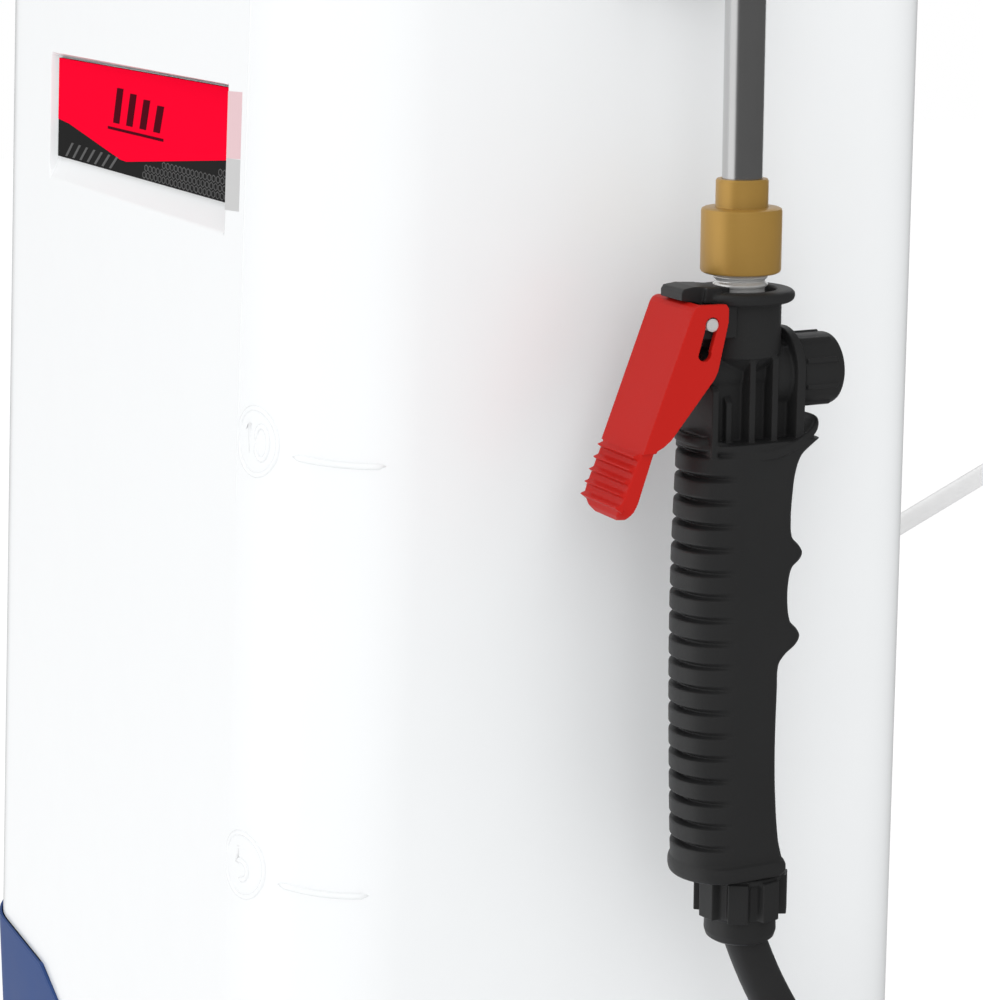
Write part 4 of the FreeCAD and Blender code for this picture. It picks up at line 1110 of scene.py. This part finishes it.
def harness():
    """The quilted back pad, and on each side a shoulder pad, its webbing and its buckle."""
    x0, x1 = low("back_pad").x, high("back_pad").x
    z0, z1 = low("back_pad").z, high("back_pad").z
    channels = [z0 + (z1 - z0) * share for share in (0.2, 0.4, 0.6, 0.8)]
    inset = 0.5
    pad = quilt("back_cushion", x0 + inset, x1 - inset, z0 + inset, z1 - inset, low("back_pad").y, 15.0,
                channels)
    assign(pad, "tank", "pad_fabric", "back_pad")
    for side, word in ((-1, "left"), (1, "right")):
        x = STRAP_X * side
        line = behind([(17.7, 424.5), (21.2, 400), (23.1, 340), (23.1, 270), (20.2, 200.5)])
        shoulder = solid("shoulder_cushion_" + word, [strip(line, x, 47.0, 7.4, 2.6, 1.9, 1.5)],
                         "pad_fabric", None)
        assign(shoulder, "tank", "pad_fabric", "shoulder_pad_" + word)
        top_loop = behind([(22, 412), (20.5, 428), (18.2, 441), (15, 446.5), (9.5, 446), (7.6, 440),
                           (9.4, 434.2), (15.4, 430), (18.4, 418)], 1.2)
        foot_loop = behind([(23, 213), (22.0, 200), (20.6, 190.2), (19.4, 180)], 2.0)
        down = behind([(20.4, 176), (20.5, 164), (18.6, 122), (10.5, 76), (7.7, 66)], 2.0)
        hem = behind([(11.5, 74), (12.2, 63), (11.4, 53), (7.0, 51.0), (4.9, 56), (7.2, 66)], 1.2)
        belt = solid("webbing_" + word, [strip(top_loop, x, 30, 1.6, 0.6), strip(foot_loop, x, 29, 1.6, 0.6),
                                         strip(down, x, 30, 2.0, 0.7), strip(hem, x, 29, 1.6, 0.6)],
                     "webbing", 50)
        assign(belt, "tank", "webbing", "lower_webbing_" + word)
        softened("strap_buckle_" + word, 0.6)
    softened("upper_strap_anchors", 0.6)
    softened("lower_strap_hooks", 0.6)


OUTLET_Y = 60.0
OUTLET_Z = 26.0


def outlet_union():
    """The handle's union nut again, turned to point out of the base."""
    face_x = -15.0
    turned = []
    for vertices, faces in winged_nut():
        turned.append(([(face_x - z, OUTLET_Y + x, OUTLET_Z + y - HOSE_EXIT_Y) for x, y, z in vertices], faces))
    made = moulding("outlet_union", turned, "black_plastic", 0.35, 2, 0.4)
    assign(made, "outlet_nut", "black_plastic", "outlet_nut")


base()
lever()
harness()
outlet_union()
for name, voxel, passes in (("filler_cap", 0.7, 4), ("carry_handle", 0.8, 8), ("lance_clip", 0.4, 4),
                            ("nozzle_elbow", 0.4, 4), ("nozzle_cap", 0.4, 4)):
    softened(name, voxel, passes)


# ---- hose
HOSE_RADIUS = 5.5
COIL_RADIUS = 57.0
COIL_START = 102.0                   # degrees, where the hose joins the coil
COIL_TOP = 33.0
COIL_STEPS = 18                      # per turn
COIL = Vector((middle("hose_coil").x, middle("hose_coil").y, 0))


def hose():
    """One hose: down from the handle, round the coil on the floor, and into the outlet."""
    nut_y = LANCE.y + HOSE_EXIT_Y
    down = [(LANCE.x, nut_y - 0.2, LANCE.z - 177), (LANCE.x, nut_y + 4.4, LANCE.z - 190),
            (LANCE.x + 0.5, nut_y + 14, LANCE.z - 208), (LANCE.x + 2, nut_y + 31, LANCE.z - 236),
            (LANCE.x + 4, nut_y + 50, LANCE.z - 272), (LANCE.x + 6, nut_y + 74, LANCE.z - 307),
            (LANCE.x + 9.2, nut_y + 101.3, LANCE.z - 331.5), (LANCE.x + 19.5, nut_y + 128.4, COIL_TOP + 4.5),
            (LANCE.x + 36.8, nut_y + 146.7, COIL_TOP + 0.8)]
    turns = []
    count = round(COIL_STEPS * (2 + (COIL_START + 90) / 360)) + 1
    for step in range(count):
        share = step / (count - 1)
        angle = radians(COIL_START - 360 / COIL_STEPS * step)
        radius = COIL_RADIUS + 5.2 * sin(2 * pi * share) * (1 - share)
        height = COIL_TOP + (HOSE_RADIUS - COIL_TOP) * share
        turns.append((COIL.x + radius * cos(angle), COIL.y + radius * sin(angle), height))
    away = [(COIL.x - 22, OUTLET_Y - 0.3, HOSE_RADIUS + 0.8), (COIL.x - 53, OUTLET_Y + 0.1, OUTLET_Z - 2.5),
            (COIL.x - 81.6, OUTLET_Y, OUTLET_Z)]
    points = down + turns + away
    curve = bpy.data.curves.new("hose_line", "CURVE")
    curve.dimensions = "3D"
    spline = curve.splines.new("NURBS")
    spline.points.add(len(points) - 1)
    for point, place in zip(spline.points, points):
        point.co = (*place, 1)
    spline.order_u = 3
    spline.use_endpoint_u = True
    spline.resolution_u = 6
    line = link("hose_line", curve)
    traced = bpy.data.meshes.new_from_object(line)
    centre = [Vector(v.co) for v in traced.vertices]
    bpy.data.objects.remove(line)
    made = solid("hose", [swept(centre, HOSE_RADIUS)], "hose_rubber", 60)
    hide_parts("hose_upper", "hose_lower", "hose_coil")
    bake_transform(made)


hose()


# ---- stage, light and camera
CAMERA_AZIMUTH = radians(65.0)
CAMERA_PITCH = radians(12.5)
CAMERA_FROM_NUT = Vector((585.68, -340.91, 85.28))
FRAME_HEIGHT = 1000.0
FOCAL_IN_PIXELS = 2750.0


def make_camera():
    data = bpy.data.cameras.new("camera")
    data.sensor_width = 36.0
    data.lens = FOCAL_IN_PIXELS * data.sensor_width / FRAME_HEIGHT
    data.clip_start = 0.02
    camera = link("camera", data)
    camera.location = (LANCE + CAMERA_FROM_NUT) * MM
    camera.rotation_euler = (pi / 2 - CAMERA_PITCH, 0, CAMERA_AZIMUTH)
    bpy.context.scene.camera = camera


def make_floor():
    bpy.ops.mesh.primitive_plane_add(size=8.0, location=(0, 0, -0.0002))
    floor = bpy.context.object
    floor.name = "floor"
    material, _, shader = new_material("floor")
    for name, value in (("Base Color", (0.3, 0.3, 0.3, 1)), ("Roughness", 1.0), ("Specular IOR Level", 0.0),
                        ("Emission Color", (1, 1, 1, 1)), ("Emission Strength", 0.78)):
        shader.inputs[name].default_value = value
    floor.data.materials.append(material)
    floor.visible_glossy = False


def make_world():
    """A white studio: brighter overhead, dimmer behind, and with darker parts for reflections only."""
    world = bpy.data.worlds.new("studio")
    bpy.context.scene.world = world
    world.use_nodes = True
    tree = world.node_tree
    background = tree.nodes["Background"]
    background.inputs["Color"].default_value = (1, 1, 1, 1)
    seen = node(tree, "ShaderNodeBackground", {"Color": (1, 1, 1, 1), "Strength": 1.0})
    direction = node(tree, "ShaderNodeTexCoord").outputs["Generated"]

    def facing(towards, start, end, near, far):
        """near where the direction points towards the given one, far elsewhere."""
        dot = node(tree, "ShaderNodeVectorMath", operation="DOT_PRODUCT")
        dot.inputs[1].default_value = towards
        tree.links.new(direction, dot.inputs[0])
        limits = {"From Min": start, "From Max": end, "To Min": far, "To Max": near}
        ramp = node(tree, "ShaderNodeMapRange", limits, interpolation_type="SMOOTHSTEP")
        tree.links.new(dot.outputs["Value"], ramp.inputs["Value"])
        return ramp.outputs["Result"]

    def product(first, second):
        made = node(tree, "ShaderNodeMath", operation="MULTIPLY")
        tree.links.new(first, made.inputs[0])
        tree.links.new(second, made.inputs[1])
        return made.outputs["Value"]

    viewer = (sin(CAMERA_AZIMUTH), -cos(CAMERA_AZIMUTH), 0)
    overhead = facing((0, 0, 1), 0.1, 0.9, 1.08, 0.86)
    walls = product(facing((-1, 0.2, 0), 0.1, 0.8, 0.55, 1.0), facing((0.1, 1, 0), 0.45, 0.95, 0.6, 1.0))
    tree.links.new(product(overhead, walls), background.inputs["Strength"])
    mirrored = node(tree, "ShaderNodeBackground", {"Color": (1, 1, 1, 1)})
    dim = Vector(viewer).lerp(Vector((-viewer[1], viewer[0], 0)), 0.55).normalized()
    studio = product(facing(dim, -0.30, -0.1, 0.14, 1.15), facing(viewer, -0.95, -0.7, 1.0, 0.7))
    studio = product(studio, facing((-0.9, 0.43, 0), 0.72, 0.92, 0.1, 1.0))
    tree.links.new(studio, mirrored.inputs["Strength"])
    rays = node(tree, "ShaderNodeLightPath").outputs

    def choose(ray, otherwise, chosen):
        mix = node(tree, "ShaderNodeMixShader")
        tree.links.new(rays[ray], mix.inputs["Fac"])
        tree.links.new(otherwise, mix.inputs[1])
        tree.links.new(chosen, mix.inputs[2])
        return mix.outputs["Shader"]

    shine = choose("Is Glossy Ray", background.outputs["Background"], mirrored.outputs["Background"])
    picked = choose("Is Camera Ray", shine, seen.outputs["Background"])
    tree.links.new(picked, tree.nodes["World Output"].inputs["Surface"])


def area_light(name, place, target, power):
    data = bpy.data.lights.new(name, "AREA")
    data.size = 1.6
    data.energy = power
    made = link(name, data)
    made.location = place
    aim = Vector(target) - Vector(place)
    made.rotation_euler = aim.to_track_quat("-Z", "Y").to_euler()
    made.visible_glossy = False


make_camera()
make_floor()
make_world()
area_light("key", (2.3, -0.9, 1.5), (0.1, 0, 0.3), 14)
area_light("front", (-0.2, -2.4, 1.2), (0, 0, 0.3), 4.3)
bpy.context.scene.view_settings.view_transform = "Standard"
